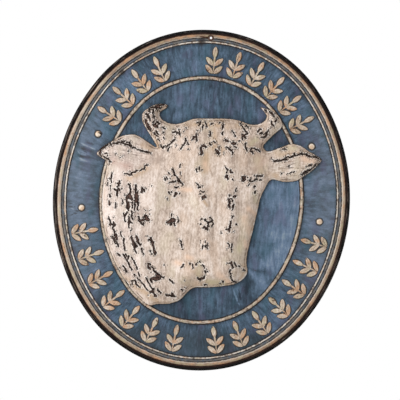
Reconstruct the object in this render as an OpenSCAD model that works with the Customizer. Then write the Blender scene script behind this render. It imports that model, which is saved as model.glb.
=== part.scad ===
// A wall-hung oval trade sign of a dairy: a pressed steel sheet with a wired edge and raised
// beads, a cow's head raised as a shell of its own, leaf sprigs and bosses in the band, and
// an eyelet to hang it by. Built in an oval frame (x right, y up, z out of the wall, origin
// at the middle of the oval on the wall), then stood up with the eyelet at the origin.

/* [Sign] */
// Height of the sign over its wired edge
sign_h = 700; // [620:1:800]
// Width of the sign over its wired edge
sign_w = 610; // [560:1:690]
// Thickness of the pressed sheet
sheet_t = 0.8; // [0.6:0.1:1]
// Height of the plate's back over the wall
plate_back = 5.6; // [5:0.1:6.2]

/* [Wired edge] */
// Diameter of the wire in the rolled edge
wire_d = 7; // [6:0.1:7.4]
// Clearance between the wire and the curl round it
wire_fit = 0.1; // [0.05:0.01:0.2]
// Gap between the wire's two ends, at the bottom of the sign
wire_gap = 1; // [0.5:0.1:3]

/* [Pressed beads] */
// Width of the broad roll beside the wired edge
roll_w = 8.8; // [7:0.1:10]
// Height of the broad roll over the plate
roll_h = 3; // [2:0.1:4]
// Width of the flat groove between the roll and the thin bead
groove_w = 5.8; // [4:0.1:7]
// Width of the thin bead
bead_w = 4.7; // [4:0.1:5.5]
// Height of the thin bead over the plate
bead_h = 1.8; // [1.5:0.1:2.2]
// Width of the flat band that holds the sprigs
band_w = 67; // [64:0.5:72]
// Width of the inner ring
ring_w = 8.2; // [7:0.1:9]
// Height of the inner ring over the plate
ring_h = 2.6; // [2:0.1:3]

/* [Sprigs and bosses] */
// Height of a sprig across the band
sprig_h = 57; // [50:0.5:59]
// Width of a sprig's stem
stem_w = 4; // [3:0.5:5]
// Length of a leaf
leaf_h = 25; // [21:0.5:26]
// Width of a leaf
leaf_w = 10; // [7:0.5:10.5]
// Angle between a side leaf and the stem
leaf_lean = 45; // [43:1:50]
// Relief of a sprig over the band
sprig_relief = 2.6; // [1.5:0.1:4]
// Diameter of a boss
boss_d = 12; // [9:0.5:15]
// Height of a boss over the band
boss_h = 3; // [2:0.1:4]

/* [Cow's head] */
// Thickness of the head's shell, measured straight out of the wall
shell_t = 1.4; // [1.2:0.1:2]
// Height of the rounded edge all round the head
edge_h = 12; // [9:0.5:15]
// How far in from its outline the edge takes to rise
edge_run = 9; // [7:0.5:12]
// Height of the face over the rounded edge
face_h = 8; // [5:0.5:11]
// Gap between the head's edge and the sheet that it sits on
seat_gap = 0.3; // [0.2:0.05:0.5]
// Spacing of the shell's net of points
net = 8; // [7:0.5:10]

/* [Hanging eyelet] */
// Bore of the eyelet
hole_d = 4.8; // [4:0.1:5.2]
// Wall of the eyelet's barrel
barrel_t = 0.6; // [0.4:0.1:0.8]
// Diameter of the eyelet's front flange
flange_d = 11; // [10:0.1:11.6]
// Thickness of the eyelet's flanges
flange_t = 0.5; // [0.4:0.1:0.8]
// Depth of the hole's middle below the top of the sign
hole_drop = 16.7; // [15.5:0.1:17.5]

/* [Hidden] */
$fn = 96;

// Oval of four arcs that meet on a 3-4-5 triangle's slope
half_h = sign_h / 2;
half_w = sign_w / 2;
arc_cos = 0.8;
arc_sin = 0.6;
arc_angle = asin(arc_sin);
arc_step = (half_h - half_w) / (arc_cos + arc_sin - 1);
end_r = half_w - arc_step * (1 - arc_cos);
side_r = end_r + arc_step;
side_c = arc_step * arc_cos;
end_c = arc_step * arc_sin;
reach = 1000;

// Heights over the wall and insets from the outer edge
plate_front = plate_back + sheet_t;
curl_in = wire_d / 2 + wire_fit;
curl_r = curl_in + sheet_t;
curl_mid = curl_in + sheet_t / 2;
plate_mid = plate_back + sheet_t / 2;
lip_from = 12;
lip_to = -50;
plate_join = curl_r + sqrt(curl_mid ^ 2 - (plate_mid - curl_r) ^ 2);
roll_at = 2 * curl_r + roll_w / 2;
bead_at = roll_at + roll_w / 2 + groove_w + bead_w / 2;
band_out = bead_at + bead_w / 2;
band_in = band_out + band_w;
band_mid = (band_out + band_in) / 2;
ring_at = band_in + ring_w / 2;
field_at = band_in + ring_w;

// The head is drawn for a field of this half width and half height inside the ring, and for a
// ring and band of this width together
drawn_for = [201.8, 246.8, 75.2];
fit_x = (half_w - field_at) / drawn_for.x;
fit_y = (half_h - field_at) / drawn_for.y;
fit_out = (field_at - band_out) / drawn_for.z;

// The sprigs fill four stretches of the band: angle where each starts and ends, and number
stretches = [[111.3, 154.4, 4], [26.7, 93.4, 6], [189.2, 266.6, 7], [275.2, 351.3, 7]];
stretch_names = ["upper_left", "upper_right", "lower_left", "lower_right"];
leaf_pairs = 2;

// Bosses between the stretches, where they are drawn
boss_names = ["boss_upper_left", "boss_left", "boss_upper_right", "boss_right"];
boss_places = [[-219.5, 123], [-244.5, -30], [219.5, 123], [244.5, -30]];

// Point on the line that runs a given inset inside the outer edge, where it faces an angle
function oval_point(angle, inset) =
    let (c = cos(angle), s = sin(angle))
    abs(s) < arc_sin
        ? [sign(c) * (abs(c) * (side_r - inset) - side_c), s * (side_r - inset)]
        : [c * (end_r - inset), sign(s) * (abs(s) * (end_r - inset) + end_c)];

// Inset of a point from the outer edge
function inset_of(p) =
    let (x = abs(p.x), y = abs(p.y))
    y * arc_cos < (x + side_c) * arc_sin
        ? side_r - norm([x + side_c, y])
        : end_r - norm([x, y - end_c]);

// Place in the sign of a drawn point: stretched with the field, and past the field's edge
// with the ring and the band
function placed(p) =
    let (over = max(1, norm([p.x / drawn_for.x, p.y / drawn_for.y])), edge = p / over)
    [edge.x * fit_x, edge.y * fit_y] + (p - edge) * fit_out;

module stand_up() {
    translate([0, plate_back, hole_drop - half_h]) rotate([90, 0, 0]) children();
}

// Sweeps a section round the oval. The section is drawn with x as minus the inset.
module round_the_oval() {
    for (side = [0, 1]) mirror([side, 0, 0]) translate([-side_c, 0, 0]) intersection() {
        rotate_extrude() translate([side_r, 0]) let ($arc_r = side_r) children();
        linear_extrude(4 * curl_r) polygon([[0, 0], reach * [arc_cos, -arc_sin],
            reach * [arc_cos, arc_sin]]);
    }
    for (end = [0, 1]) mirror([0, end, 0]) translate([0, end_c, 0]) intersection() {
        rotate_extrude() translate([end_r, 0]) let ($arc_r = end_r) children();
        linear_extrude(4 * curl_r) polygon([[0, 0], reach * [arc_cos, arc_sin],
            reach * [-arc_cos, arc_sin]]);
    }
}

// Radius of a round-topped bead of a given width and height
function bead_r(w, h) = (w ^ 2 / 4 + h ^ 2) / (2 * h);

// Solid section of a bead at an inset, and the hollow behind it
module bead_outside(at, w, h) {
    translate([-at, plate_front + h - bead_r(w, h)]) circle(bead_r(w, h));
}
module bead_hollow(at, w, h) {
    translate([-at, plate_front + h - bead_r(w, h)]) circle(bead_r(w, h) - sheet_t);
}

// The sheet's section: plate, three beads, and the curl round the wire
module sheet_section() {
    difference() {
        union() {
            translate([-$arc_r, plate_back]) square([$arc_r - plate_join, sheet_t]);
            intersection() {
                union() {
                    bead_outside(roll_at, roll_w, roll_h);
                    bead_outside(bead_at, bead_w, bead_h);
                    bead_outside(ring_at, ring_w, ring_h);
                }
                translate([-half_w, plate_back]) square([half_w, roll_h + ring_h]);
            }
        }
        bead_hollow(roll_at, roll_w, roll_h);
        bead_hollow(bead_at, bead_w, bead_h);
        bead_hollow(ring_at, ring_w, ring_h);
    }
    translate([-curl_r, curl_r]) difference() {
        circle(curl_r);
        circle(curl_in);
        polygon([[0, 0], for (a = [lip_from, (lip_from + lip_to) / 2, lip_to])
            2 * curl_r * [-cos(a), sin(a)]]);
    }
}

// Round pad pressed flat through the roll, where the eyelet sits
pad_r = flange_d / 2 + 0.5;
hole_at = [0, half_h - hole_drop];

module face_sheet() {
    color("steelblue") stand_up() {
        difference() {
            round_the_oval() sheet_section();
            translate([hole_at.x, hole_at.y, plate_back - roll_h])
                cylinder(r = pad_r + sheet_t / 2, h = 3 * roll_h + sheet_t);
        }
        translate([hole_at.x, hole_at.y, plate_back]) difference() {
            cylinder(r = pad_r + sheet_t / 2, h = sheet_t);
            translate([0, 0, -1]) cylinder(r = barrel_r + barrel_fit, h = sheet_t + 2);
        }
        intersection() {
            translate([hole_at.x, hole_at.y, plate_back]) difference() {
                cylinder(r = pad_r + sheet_t, h = roll_h + sheet_t);
                translate([0, 0, -1]) cylinder(r = pad_r, h = roll_h + sheet_t + 2);
            }
            round_the_oval() roll_solid();
        }
    }
}

// The roll's section filled down to the plate's back
module roll_solid() {
    intersection() {
        bead_outside(roll_at, roll_w, roll_h);
        translate([-half_w, plate_back]) square([half_w, roll_h + sheet_t]);
    }
    translate([-roll_at - roll_w, plate_back]) square([2 * roll_w, sheet_t]);
}

module rim_wire() {
    color("dimgray") stand_up() difference() {
        round_the_oval() translate([-curl_r, curl_r]) circle(wire_d / 2);
        translate([-wire_gap / 2, -half_h - 1, 0]) cube([wire_gap, 4 * curl_r, 2 * curl_r]);
    }
}

// Eyelet with a front and a clinched back flange
barrel_fit = 0.05;
barrel_r = hole_d / 2 + barrel_t;
back_flange_d = flange_d - 2;

module hanging_eyelet() {
    color("sienna") stand_up() translate([hole_at.x, hole_at.y, plate_back]) difference() {
        union() {
            translate([0, 0, -flange_t]) cylinder(d = back_flange_d, h = flange_t);
            translate([0, 0, -flange_t]) cylinder(r = barrel_r, h = sheet_t + 2 * flange_t);
            translate([0, 0, sheet_t]) cylinder(d = flange_d, h = flange_t);
        }
        translate([0, 0, -1 - flange_t]) cylinder(d = hole_d, h = sheet_t + 2 * flange_t + 2);
    }
}

// Leaf that stands on the origin: two arcs that meet at its foot and its tip
module leaf(h, w) {
    r = (h ^ 2 + w ^ 2) / (4 * w);
    intersection() {
        translate([r - w / 2, h / 2]) circle(r);
        translate([w / 2 - r, h / 2]) circle(r);
    }
}

module sprig() {
    pitch = (sprig_h - leaf_h) / leaf_pairs;
    translate([0, -sprig_h / 2, plate_front]) linear_extrude(sprig_relief) {
        translate([-stem_w / 2, 0]) square([stem_w, sprig_h - leaf_h / 2]);
        translate([0, sprig_h - leaf_h]) leaf(leaf_h, leaf_w);
        for (pair = [0:leaf_pairs - 1]) translate([0, pair * pitch]) for (side = [-1, 1])
            rotate(side * leaf_lean) leaf(leaf_h, leaf_w);
    }
}

// Lengths along the middle of the band, from the right-hand end of the sign's width
side_mid_r = side_r - band_mid;
end_mid_r = end_r - band_mid;
side_len = side_mid_r * arc_angle * PI / 180;
quarter = side_len + end_mid_r * (90 - arc_angle) * PI / 180;

function first_quarter_length(angle) =
    angle < arc_angle
        ? side_mid_r * angle * PI / 180
        : side_len + end_mid_r * (angle - arc_angle) * PI / 180;

function first_quarter_angle(length) =
    length < side_len
        ? length / side_mid_r * 180 / PI
        : arc_angle + (length - side_len) / end_mid_r * 180 / PI;

function length_to(angle) =
    let (n = floor(angle / 90), rest = angle - 90 * n)
    n % 2 == 0
        ? n * quarter + first_quarter_length(rest)
        : (n + 1) * quarter - first_quarter_length(90 - rest);

function angle_at(length) =
    let (n = floor(length / quarter), rest = length - quarter * n)
    n % 2 == 0
        ? 90 * n + first_quarter_angle(rest)
        : 90 * (n + 1) - first_quarter_angle(quarter - rest);

// The i-th sprig of a stretch. Above the middle its tip points outwards, below it inwards.
module placed_sprig(stretch, i) {
    from = length_to(stretch[0]);
    pitch = (length_to(stretch[1]) - from) / stretch[2];
    angle = angle_at(from + (i - 0.5) * pitch);
    turn = sin(angle) > 0 ? angle - 90 : angle + 90;
    color("wheat") stand_up() translate(oval_point(angle, band_mid)) rotate(turn) sprig();
}

// Round-topped stud in the band
module boss(place) {
    r = bead_r(boss_d, boss_h);
    color("wheat") stand_up() translate(placed(place)) intersection() {
        translate([0, 0, plate_front + boss_h - r]) sphere(r);
        translate([0, 0, plate_front]) cylinder(r = r, h = boss_h);
    }
}

// Corners of the head's outline inside the ring, clockwise from the notch between the left
// ear and the left horn
left_horn = [[-98, 104], [-113, 127], [-128, 149], [-132, 163], [-130, 173], [-120, 182],
    [-107, 190], [-92, 193], [-80, 190], [-84, 183], [-94, 176], [-95, 168], [-89, 160],
    [-76, 154], [-60, 153]];
poll = [[-46, 157], [-24, 166], [10, 168.5], [45, 170], [68, 167.5], [86, 162]];
right_horn = [[101, 161], [113, 165], [121, 172], [123, 180], [118, 188], [109, 197],
    [122, 195], [138, 189], [149, 180], [156, 168], [155, 157], [141, 143], [122, 121]];
right_ear = [[122, 113], [132, 108], [152, 116], [176, 125.5], [196, 123.5], [216, 112],
    [240, 99], [236, 88], [222, 72], [206, 60], [190, 50], [165, 47], [141, 50]];
face = [[129, 32], [120, 8], [115, -24], [107, -68], [101, -102], [100, -124], [103, -139],
    [99, -152], [86, -164], [66, -171.5], [25, -178], [-4, -180]];
jaw = [[-18, -191], [-32, -207], [-54, -216], [-78, -218]];
left_ear = [[-202, 72], [-212, 78], [-216, 84], [-208, 97], [-190, 110], [-168, 123],
    [-146, 126.5], [-130, 121], [-112, 110]];

// Angles that the neck faces where it leaves the jaw and where it reaches the ear, and how
// far it laps over the ring
neck_from = 238;
neck_to = 168;
neck_lap = 2;

neck = [for (a = [neck_from:-10:neck_to]) oval_point(a, field_at - neck_lap)];
corners = concat(
    [for (p = concat(left_horn, poll, right_horn, right_ear, face, jaw)) placed(p)],
    neck,
    [for (p = left_ear) placed(p)]
);

// Smooth curve through the corners, with one more point half way along each side
function half_way(a, b, c, d) = (9 * (b + c) - a - d) / 16;
count = len(corners);
outline = [for (i = [0:count - 1]) each [
    corners[i],
    half_way(corners[(i + count - 1) % count], corners[i], corners[(i + 1) % count],
        corners[(i + 2) % count])
]];
sides = len(outline);

// Distance from a point to the side between a and b
function off_side(p, a, b) =
    let (along = b - a, t = max(0, min(1, (p - a) * along / (along * along))))
    norm(p - a - t * along);

// How far inside the outline a point lies, negative outside it
function depth_in(p) =
    let (
        off = min([for (i = [0:sides - 1]) off_side(p, outline[i], outline[(i + 1) % sides])]),
        crossed = [for (i = [0:sides - 1])
            let (a = outline[i], b = outline[(i + 1) % sides])
            if ((a.y > p.y) != (b.y > p.y)
                && p.x < a.x + (p.y - a.y) / (b.y - a.y) * (b.x - a.x)) 1]
    )
    len(crossed) % 2 == 1 ? off : -off;

// One swelling or hollow of the face: middle, half length along its lean, half width, lean
// and height, which is a share of the face's own height
brow = [20, 95, 130, 34, 0, 0.5];
left_ridge = [5, -20, 110, 12, 97, 0.5];
right_ridge = [62, -20, 110, 12, 92, 0.5];
muzzle = [30, -146, 78, 30, 3, 1.1];
left_nostril = [-12, -150, 20, 12, 70, 0.4];
right_nostril = [84, -146, 18, 13, 100, 0.4];
left_eye = [-62, 38, 17, 10, -25, 0.6];
right_eye = [100, 48, 12, 8, 5, 0.5];
left_socket = [-38, 16, 30, 18, -50, -0.5];
left_cheek = [-100, -10, 62, 26, 80, 0.6];
right_cheek = [100, -20, 60, 10, 88, 0.4];
jaw_hollow = [-75, -95, 70, 18, 118, -0.4];
neck_fold = [-140, -10, 60, 9, 92, 0.5];
front_fold = [-120, -120, 70, 9, 112, 0.5];
side_fold = [-172, -50, 70, 9, 105, 0.4];
left_ear_cup = [-158, 84, 46, 16, -8, -0.6];
right_ear_cup = [184, 78, 48, 15, 12, -0.6];
forms = [brow, left_ridge, right_ridge, muzzle, left_nostril, right_nostril, left_eye,
    right_eye, left_socket, left_cheek, right_cheek, jaw_hollow, neck_fold, front_fold,
    side_fold, left_ear_cup, right_ear_cup];

form_run = 2.2 * edge_run;
face_run = 5 * edge_run;

function swell(p, f) =
    let (x = p.x / fit_x - f[0], y = p.y / fit_y - f[1], c = cos(f[4]), s = sin(f[4]))
    f[5] * face_h * exp(-((x * c + y * s) / f[2]) ^ 4 - ((y * c - x * s) / f[3]) ^ 2);

// Height of the shell over its seat, at a point that lies a given depth inside the outline.
// The forms and the face's height fade in behind the rounded edge.
function rise(p, depth) =
    let (
        form_fade = 1 - exp(-(depth / form_run) ^ 2),
        face_fade = 1 - exp(-(depth / face_run) ^ 2)
    )
    edge_h * (1 - exp(-depth / edge_run))
        + form_fade * (face_h * face_fade + sum([for (f = forms) swell(p, f)]));

function sum(v) = v * [for (i = v) 1];

// Height of the seat: it lifts over the ring where the head laps over it
ring_spread = 8;
function seat(p, depth) =
    let (off = max(0, abs(inset_of(p) - ring_at) - ring_w / 4) / ring_spread)
    plate_front + seat_gap + (off < 1 ? ring_h * (1 - off ^ 2) * exp(-depth / edge_run) : 0);

// The shell is a net of square cells cut off at the outline. A cell's corner that lies too
// close to the outline is pushed off it, so that no facet is a sliver.
net_from = [for (axis = [0, 1]) floor(min([for (p = outline) p[axis]]) / net) - 1];
net_to = [for (axis = [0, 1]) ceil(max([for (p = outline) p[axis]]) / net) + 1];
net_x = net_to.x - net_from.x;
net_y = net_to.y - net_from.y;
least = net / 12;
function net_point(i, j) = net * [net_from.x + i, net_from.y + j];

module cow_head() {
    net_depth = [for (j = [0:net_y]) [for (i = [0:net_x])
        let (d = depth_in(net_point(i, j)))
        abs(d) < least ? (d < 0 ? -least : least) : d]];

    // Point where the outline crosses the side between two corners of a cell
    function crossing(i, j, k, l) =
        let (a = net_depth[j][i], b = net_depth[l][k])
        a * b < 0
            ? net_point(i, j) + (net_point(k, l) - net_point(i, j)) * a / (a - b)
            : [0, 0];

    // Every corner of a cell, then the crossing to its right, then the crossing over it
    row = net_x + 1;
    layer = row * (net_y + 1);
    flat_points = concat(
        [for (j = [0:net_y]) for (i = [0:net_x]) net_point(i, j)],
        [for (j = [0:net_y]) for (i = [0:net_x]) crossing(i, j, min(i + 1, net_x), j)],
        [for (j = [0:net_y]) for (i = [0:net_x]) crossing(i, j, i, min(j + 1, net_y))]
    );
    points = [for (lift = [shell_t, 0]) for (k = [0:3 * layer - 1])
        let (p = flat_points[k], d = k < layer ? max(0, net_depth[floor(k / row)][k % row]) : 0)
        [p.x, p.y, seat(p, d) + rise(p, d) + lift]];

    // Corners of the piece of a cell that lies inside the outline, anticlockwise
    function cell_piece(i, j) =
        let (
            corner = [[i, j], [i + 1, j], [i + 1, j + 1], [i, j + 1]],
            first = i + row * j,
            cut = [layer + first, 2 * layer + first + 1, layer + first + row, 2 * layer + first]
        )
        [for (k = [0:3])
            let (a = corner[k], b = corner[(k + 1) % 4])
            let (depth_a = net_depth[a.y][a.x], depth_b = net_depth[b.y][b.x])
            each concat(depth_a > 0 ? [a.x + row * a.y] : [],
                depth_a * depth_b < 0 ? [cut[k]] : [])];

    pieces = [for (j = [0:net_y - 1]) for (i = [0:net_x - 1])
        let (piece = cell_piece(i, j)) if (len(piece) > 2) piece];
    back = 3 * layer;
    front_faces = [for (c = pieces) for (k = [1:len(c) - 2]) [c[0], c[k + 1], c[k]]];
    back_faces = [for (f = front_faces) [f[0] + back, f[2] + back, f[1] + back]];
    edge_faces = [for (c = pieces) for (k = [0:len(c) - 1])
        let (a = c[k], b = c[(k + 1) % len(c)])
        if (a >= layer && b >= layer) each [[a, b, b + back], [a, b + back, a + back]]];

    color("antiquewhite") stand_up()
        polyhedron(points, concat(front_faces, back_faces, edge_faces));
}

face_sheet();
rim_wire();
cow_head();
hanging_eyelet();
for (b = [0:3])
    boss(boss_places[b]);
for (s = [0:3]) for (i = [1:stretches[s][2]])
    placed_sprig(stretches[s], i);
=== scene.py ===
import math

import bpy
import numpy as np
from mathutils import Matrix, Vector
from mathutils.geometry import delaunay_2d_cdt


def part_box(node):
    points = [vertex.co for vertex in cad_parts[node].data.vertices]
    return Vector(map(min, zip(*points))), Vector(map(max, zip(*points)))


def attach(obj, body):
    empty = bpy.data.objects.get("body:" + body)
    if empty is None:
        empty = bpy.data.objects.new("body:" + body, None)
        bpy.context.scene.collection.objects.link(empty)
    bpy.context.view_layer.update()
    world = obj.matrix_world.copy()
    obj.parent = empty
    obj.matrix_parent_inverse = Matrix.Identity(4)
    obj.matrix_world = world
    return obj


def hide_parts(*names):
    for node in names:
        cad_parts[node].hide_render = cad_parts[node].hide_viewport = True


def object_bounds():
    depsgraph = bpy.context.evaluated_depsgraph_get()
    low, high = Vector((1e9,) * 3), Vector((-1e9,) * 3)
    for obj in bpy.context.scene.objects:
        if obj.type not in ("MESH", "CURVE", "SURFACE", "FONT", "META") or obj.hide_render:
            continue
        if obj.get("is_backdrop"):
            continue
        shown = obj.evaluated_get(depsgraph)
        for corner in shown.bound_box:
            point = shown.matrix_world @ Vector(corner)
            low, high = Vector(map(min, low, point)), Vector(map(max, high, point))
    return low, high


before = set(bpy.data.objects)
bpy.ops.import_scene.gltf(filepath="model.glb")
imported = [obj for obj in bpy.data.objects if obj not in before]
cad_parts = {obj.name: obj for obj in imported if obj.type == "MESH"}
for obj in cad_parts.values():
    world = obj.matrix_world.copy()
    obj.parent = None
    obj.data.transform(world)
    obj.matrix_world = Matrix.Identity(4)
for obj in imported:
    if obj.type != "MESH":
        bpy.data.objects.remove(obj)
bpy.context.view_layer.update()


# The sheet: one oval blank of thin steel, pressed from behind with a broad roll, a thin bead
# and an inner ring, and curled round a wire at its edge. It is drawn in millimetres in the
# oval's own frame, x to the right, y up and z out of the wall, and then stood up.
def box_mm(node):
    """A node's lowest and highest corners, in millimetres."""
    return [1000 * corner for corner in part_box(node)]


SHEET_T = 0.8
WIRE_R = 3.5
sheet_low, sheet_high = box_mm("face_sheet")
half_w = sheet_high.x
half_h = (sheet_high.z - sheet_low.z) / 2
middle_z = (sheet_high.z + sheet_low.z) / 2
hole_y = -middle_z
wall_y = sheet_high.y
plate_back = wall_y
plate_front = plate_back + SHEET_T
curl_r = half_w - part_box("rim_wire")[1].x * 1000 + WIRE_R
curl_in = curl_r - SHEET_T

# Four arcs that meet on the slope of a 3-4-5 triangle
ARC_COS, ARC_SIN = 0.8, 0.6
arc_step = (half_h - half_w) / (ARC_COS + ARC_SIN - 1)
end_r = half_w - arc_step * (1 - ARC_COS)
side_r = end_r + arc_step
side_c, end_c = arc_step * ARC_COS, arc_step * ARC_SIN

# The pressed lines' widths and heights, and how far in from the sign's edge their outer and
# inner feet and their middles lie
ROLL_W, ROLL_H = 8.8, 3.0
GROOVE_W = 5.8
BEAD_W, BEAD_H = 4.7, 1.8
BAND_W = 67.0
RING_W, RING_H = 8.2, 2.6
roll_out = 2 * curl_r
roll_in = roll_out + ROLL_W
bead_out = roll_in + GROOVE_W
band_out = bead_out + BEAD_W
band_in = band_out + BAND_W
field_at = band_in + RING_W
roll_at = roll_out + ROLL_W / 2
bead_at = bead_out + BEAD_W / 2
band_mid = (band_out + band_in) / 2
ring_at = band_in + RING_W / 2


def oval_line(angle, inset):
    """The point, or points, where the line at an inset from the edge faces an angle."""
    c, s = np.cos(angle), np.sin(angle)
    on_side = np.abs(s) < ARC_SIN
    side_x = np.sign(c) * (np.abs(c) * (side_r - inset) - side_c)
    end_y = np.sign(s) * (np.abs(s) * (end_r - inset) + end_c)
    x = np.where(on_side, side_x, c * (end_r - inset))
    y = np.where(on_side, s * (side_r - inset), end_y)
    return np.stack([x, y], -1)


def inset_of(x, y):
    """How far inside the sign's edge a point lies."""
    ax, ay = np.abs(x), np.abs(y)
    on_side = ay * ARC_COS < (ax + side_c) * ARC_SIN
    return np.where(on_side, side_r - np.hypot(ax + side_c, y), end_r - np.hypot(x, ay - end_c))


def stand_up(points):
    """From millimetres in the oval's frame to metres in the row's frame."""
    p = np.asarray(points, float)
    return np.stack([p[..., 0], wall_y - p[..., 2], p[..., 1] + middle_z], -1) / 1000


def smooth_step(low, high, value):
    """0 below low and 1 above high, with a smooth rise between them."""
    t = np.clip((value - low) / (high - low), 0, 1)
    return t * t * (3 - 2 * t)


def steps(start, stop, step):
    """Values from start to stop, without stop itself, about a step apart."""
    count = max(1, round(abs(stop - start) / step))
    return np.linspace(start, stop, count + 1)[:-1]


def segment_distance(points, lines):
    """Least distance from each point to any of the lines, each given as its points in turn."""
    best = np.full(len(points), np.inf)
    for line in lines:
        line = np.asarray(line, float)
        for a, b in zip(line[:-1], line[1:]):
            along = b - a
            t = np.clip((points - a) @ along / (along @ along), 0, 1)
            best = np.minimum(best, np.hypot(*(points - a - t[:, None] * along).T))
    return best


def add_object(name, data):
    """A new object in the scene, from a mesh, a lamp or a camera."""
    made = bpy.data.objects.new(name, data)
    bpy.context.scene.collection.objects.link(made)
    return made


def new_piece(name, points, faces, material, sharp_angle, **attributes):
    """A mesh object from points in the oval's frame, with its float or vector attributes."""
    mesh = bpy.data.meshes.new(name)
    mesh.from_pydata(stand_up(points).tolist(), [], faces)
    mesh.validate()
    for key, values in attributes.items():
        values = np.asarray(values, np.float32)
        kind, field = ("FLOAT_VECTOR", "vector") if values.ndim == 2 else ("FLOAT", "value")
        mesh.attributes.new(key, kind, "POINT").data.foreach_set(field, values.ravel())
    mesh.shade_smooth()
    mesh.set_sharp_from_angle(angle=math.radians(sharp_angle))
    mesh.materials.append(material)
    return add_object(name, mesh)


def lathe(name, profile, centre, material, closed, turns=64, **attributes):
    """A piece turned round a line out of the wall. The profile's points are radius and height."""
    around = np.linspace(0, 2 * np.pi, turns + 1)[:-1]
    circle = np.column_stack([np.cos(around), np.sin(around)])
    points = np.vstack([np.column_stack([centre + r * circle, np.full(turns, z)]) for r, z in profile])
    here = np.arange(turns)
    after = (here + 1) % turns
    starts = [row * turns for row in range(len(profile))]
    faces = []
    for a, b in zip(starts, starts[1:] + starts[:closed]):
        faces += np.stack([a + here, a + after, b + after, b + here], 1).tolist()
    if not closed:
        faces += [here[::-1].tolist(), (starts[-1] + here).tolist()]
    return new_piece(name, points, faces, material, sharp_angle=35, **attributes)


def made_mesh(piece):
    """A mesh of the piece as its modifiers leave it."""
    finished = piece.evaluated_get(bpy.context.evaluated_depsgraph_get())
    return bpy.data.meshes.new_from_object(finished)


def colour(shade):
    """A screen colour from 0 to 255 as the linear colour that a shader takes."""
    c = np.asarray(shade, float) / 255
    return tuple(np.where(c <= 0.04045, c / 12.92, ((c + 0.055) / 1.055) ** 2.4))


class Paint:
    """A material in the making. Each method adds nodes and returns their output."""

    def __init__(self, name):
        self.material = bpy.data.materials.new(name)
        self.material.use_nodes = True
        self.tree = self.material.node_tree
        self.tree.nodes.clear()
        self.place = self.node("TexCoord", output="Object")

    def node(self, kind, inputs=(), output=0, **settings):
        made = self.tree.nodes.new("ShaderNode" + kind)
        for key, value in settings.items():
            setattr(made, key, value)
        for key, value in dict(inputs).items():
            if isinstance(value, bpy.types.NodeSocket):
                self.tree.links.new(value, made.inputs[key])
            else:
                made.inputs[key].default_value = value
        return made.outputs[output]

    def attribute(self, name, output="Fac"):
        return self.node("Attribute", output=output, attribute_name=name)

    def part(self, vector, axis):
        """One of a vector's numbers: 0 for x, 1 for y or 2 for z."""
        return self.node("SeparateXYZ", {0: vector}, output=axis)

    def noise(self, scale, detail, roughness, vector=None):
        vector = self.place if vector is None else vector
        inputs = {"Vector": vector, "Scale": scale, "Detail": detail, "Roughness": roughness}
        return self.node("TexNoise", inputs)

    def streaks(self, scales, detail, roughness, vector=None):
        """Noise that is drawn out along the axes with the smaller scales."""
        vector = self.place if vector is None else vector
        drawn_out = self.node("Mapping", {"Vector": vector, "Scale": scales})
        return self.noise(1, detail, roughness, drawn_out)

    def spot(self, x, y, half_long, half_wide, lean=0.0):
        """How far out from the middle of an oval spot each point lies: 1 at the spot's edge."""
        turned = self.node("Mapping", {
            "Vector": self.place, "Location": (x / 1000, 0, (y + middle_z) / 1000),
            "Rotation": (0, -math.radians(lean), 0), "Scale": (half_long / 1000, 1, half_wide / 1000),
        }, vector_type="TEXTURE")
        return self.node("VectorMath", {0: turned}, output="Value", operation="LENGTH")

    def chain(self, operation, values):
        total = values[0]
        for value in values[1:]:
            total = self.node("Math", {0: total, 1: value}, operation=operation)
        return total

    def sum(self, *values):
        return self.chain("ADD", values)

    def product(self, *values):
        return self.chain("MULTIPLY", values)

    def largest(self, *values):
        return self.chain("MAXIMUM", values)

    def size_of(self, value):
        return self.node("Math", {0: value}, operation="ABSOLUTE")

    def weighted(self, *pairs):
        """The sum of values that are each given with a weight."""
        return self.sum(*[self.product(value, weight) for value, weight in pairs])

    def spread(self, value, low, high, to_low=0.0, to_high=1.0):
        """The value's range from low to high, spread smoothly over another range."""
        inputs = {"Value": value, "From Min": low, "From Max": high, "To Min": to_low, "To Max": to_high}
        return self.node("MapRange", inputs, interpolation_type="SMOOTHSTEP")

    def jitter(self, noise, most):
        """A noise turned into a push either way, at the most by so much."""
        return self.spread(noise, 0.3, 0.7, -most, most)

    def mix(self, share, a, b):
        """The first colour, taken by the share towards the second."""
        inputs = {0: share}
        for key, shade in ((6, a), (7, b)):
            is_made = isinstance(shade, bpy.types.NodeSocket)
            inputs[key] = shade if is_made else (*colour(shade), 1)
        return self.node("Mix", inputs, output=2, data_type="RGBA")

    def ramp(self, value, places, shades):
        """Colours that follow one another, each at its place along the value."""
        made = self.tree.nodes.new("ShaderNodeValToRGB")
        self.tree.links.new(value, made.inputs[0])
        marks = made.color_ramp.elements
        for place in places[2:]:
            marks.new(place)
        for mark, place, shade in zip(marks, places, shades):
            mark.position = place
            mark.color = (*colour(shade), 1)
        return made.outputs[0]

    def finish(self, shade, roughness, height, relief, metal=0.0, gloss=0.5):
        """The finished material. The height makes a bump of at most the relief, in metres."""
        bump = self.node("Bump", {"Height": height, "Strength": 1.0, "Distance": relief})
        shader = self.node("BsdfPrincipled", {
            "Base Color": shade, "Roughness": roughness, "Normal": bump, "Metallic": metal,
            "Specular IOR Level": gloss,
        })
        output = self.tree.nodes.new("ShaderNodeOutputMaterial")
        self.tree.links.new(shader, output.inputs["Surface"])
        return self.material


# Where the thin bead's paint is worn through: the angle it faces, and half the length
bead_breaks = [(94.0, 8), (133.9, 6), (154, 3), (193, 3.5), (270.5, 3)]

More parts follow.
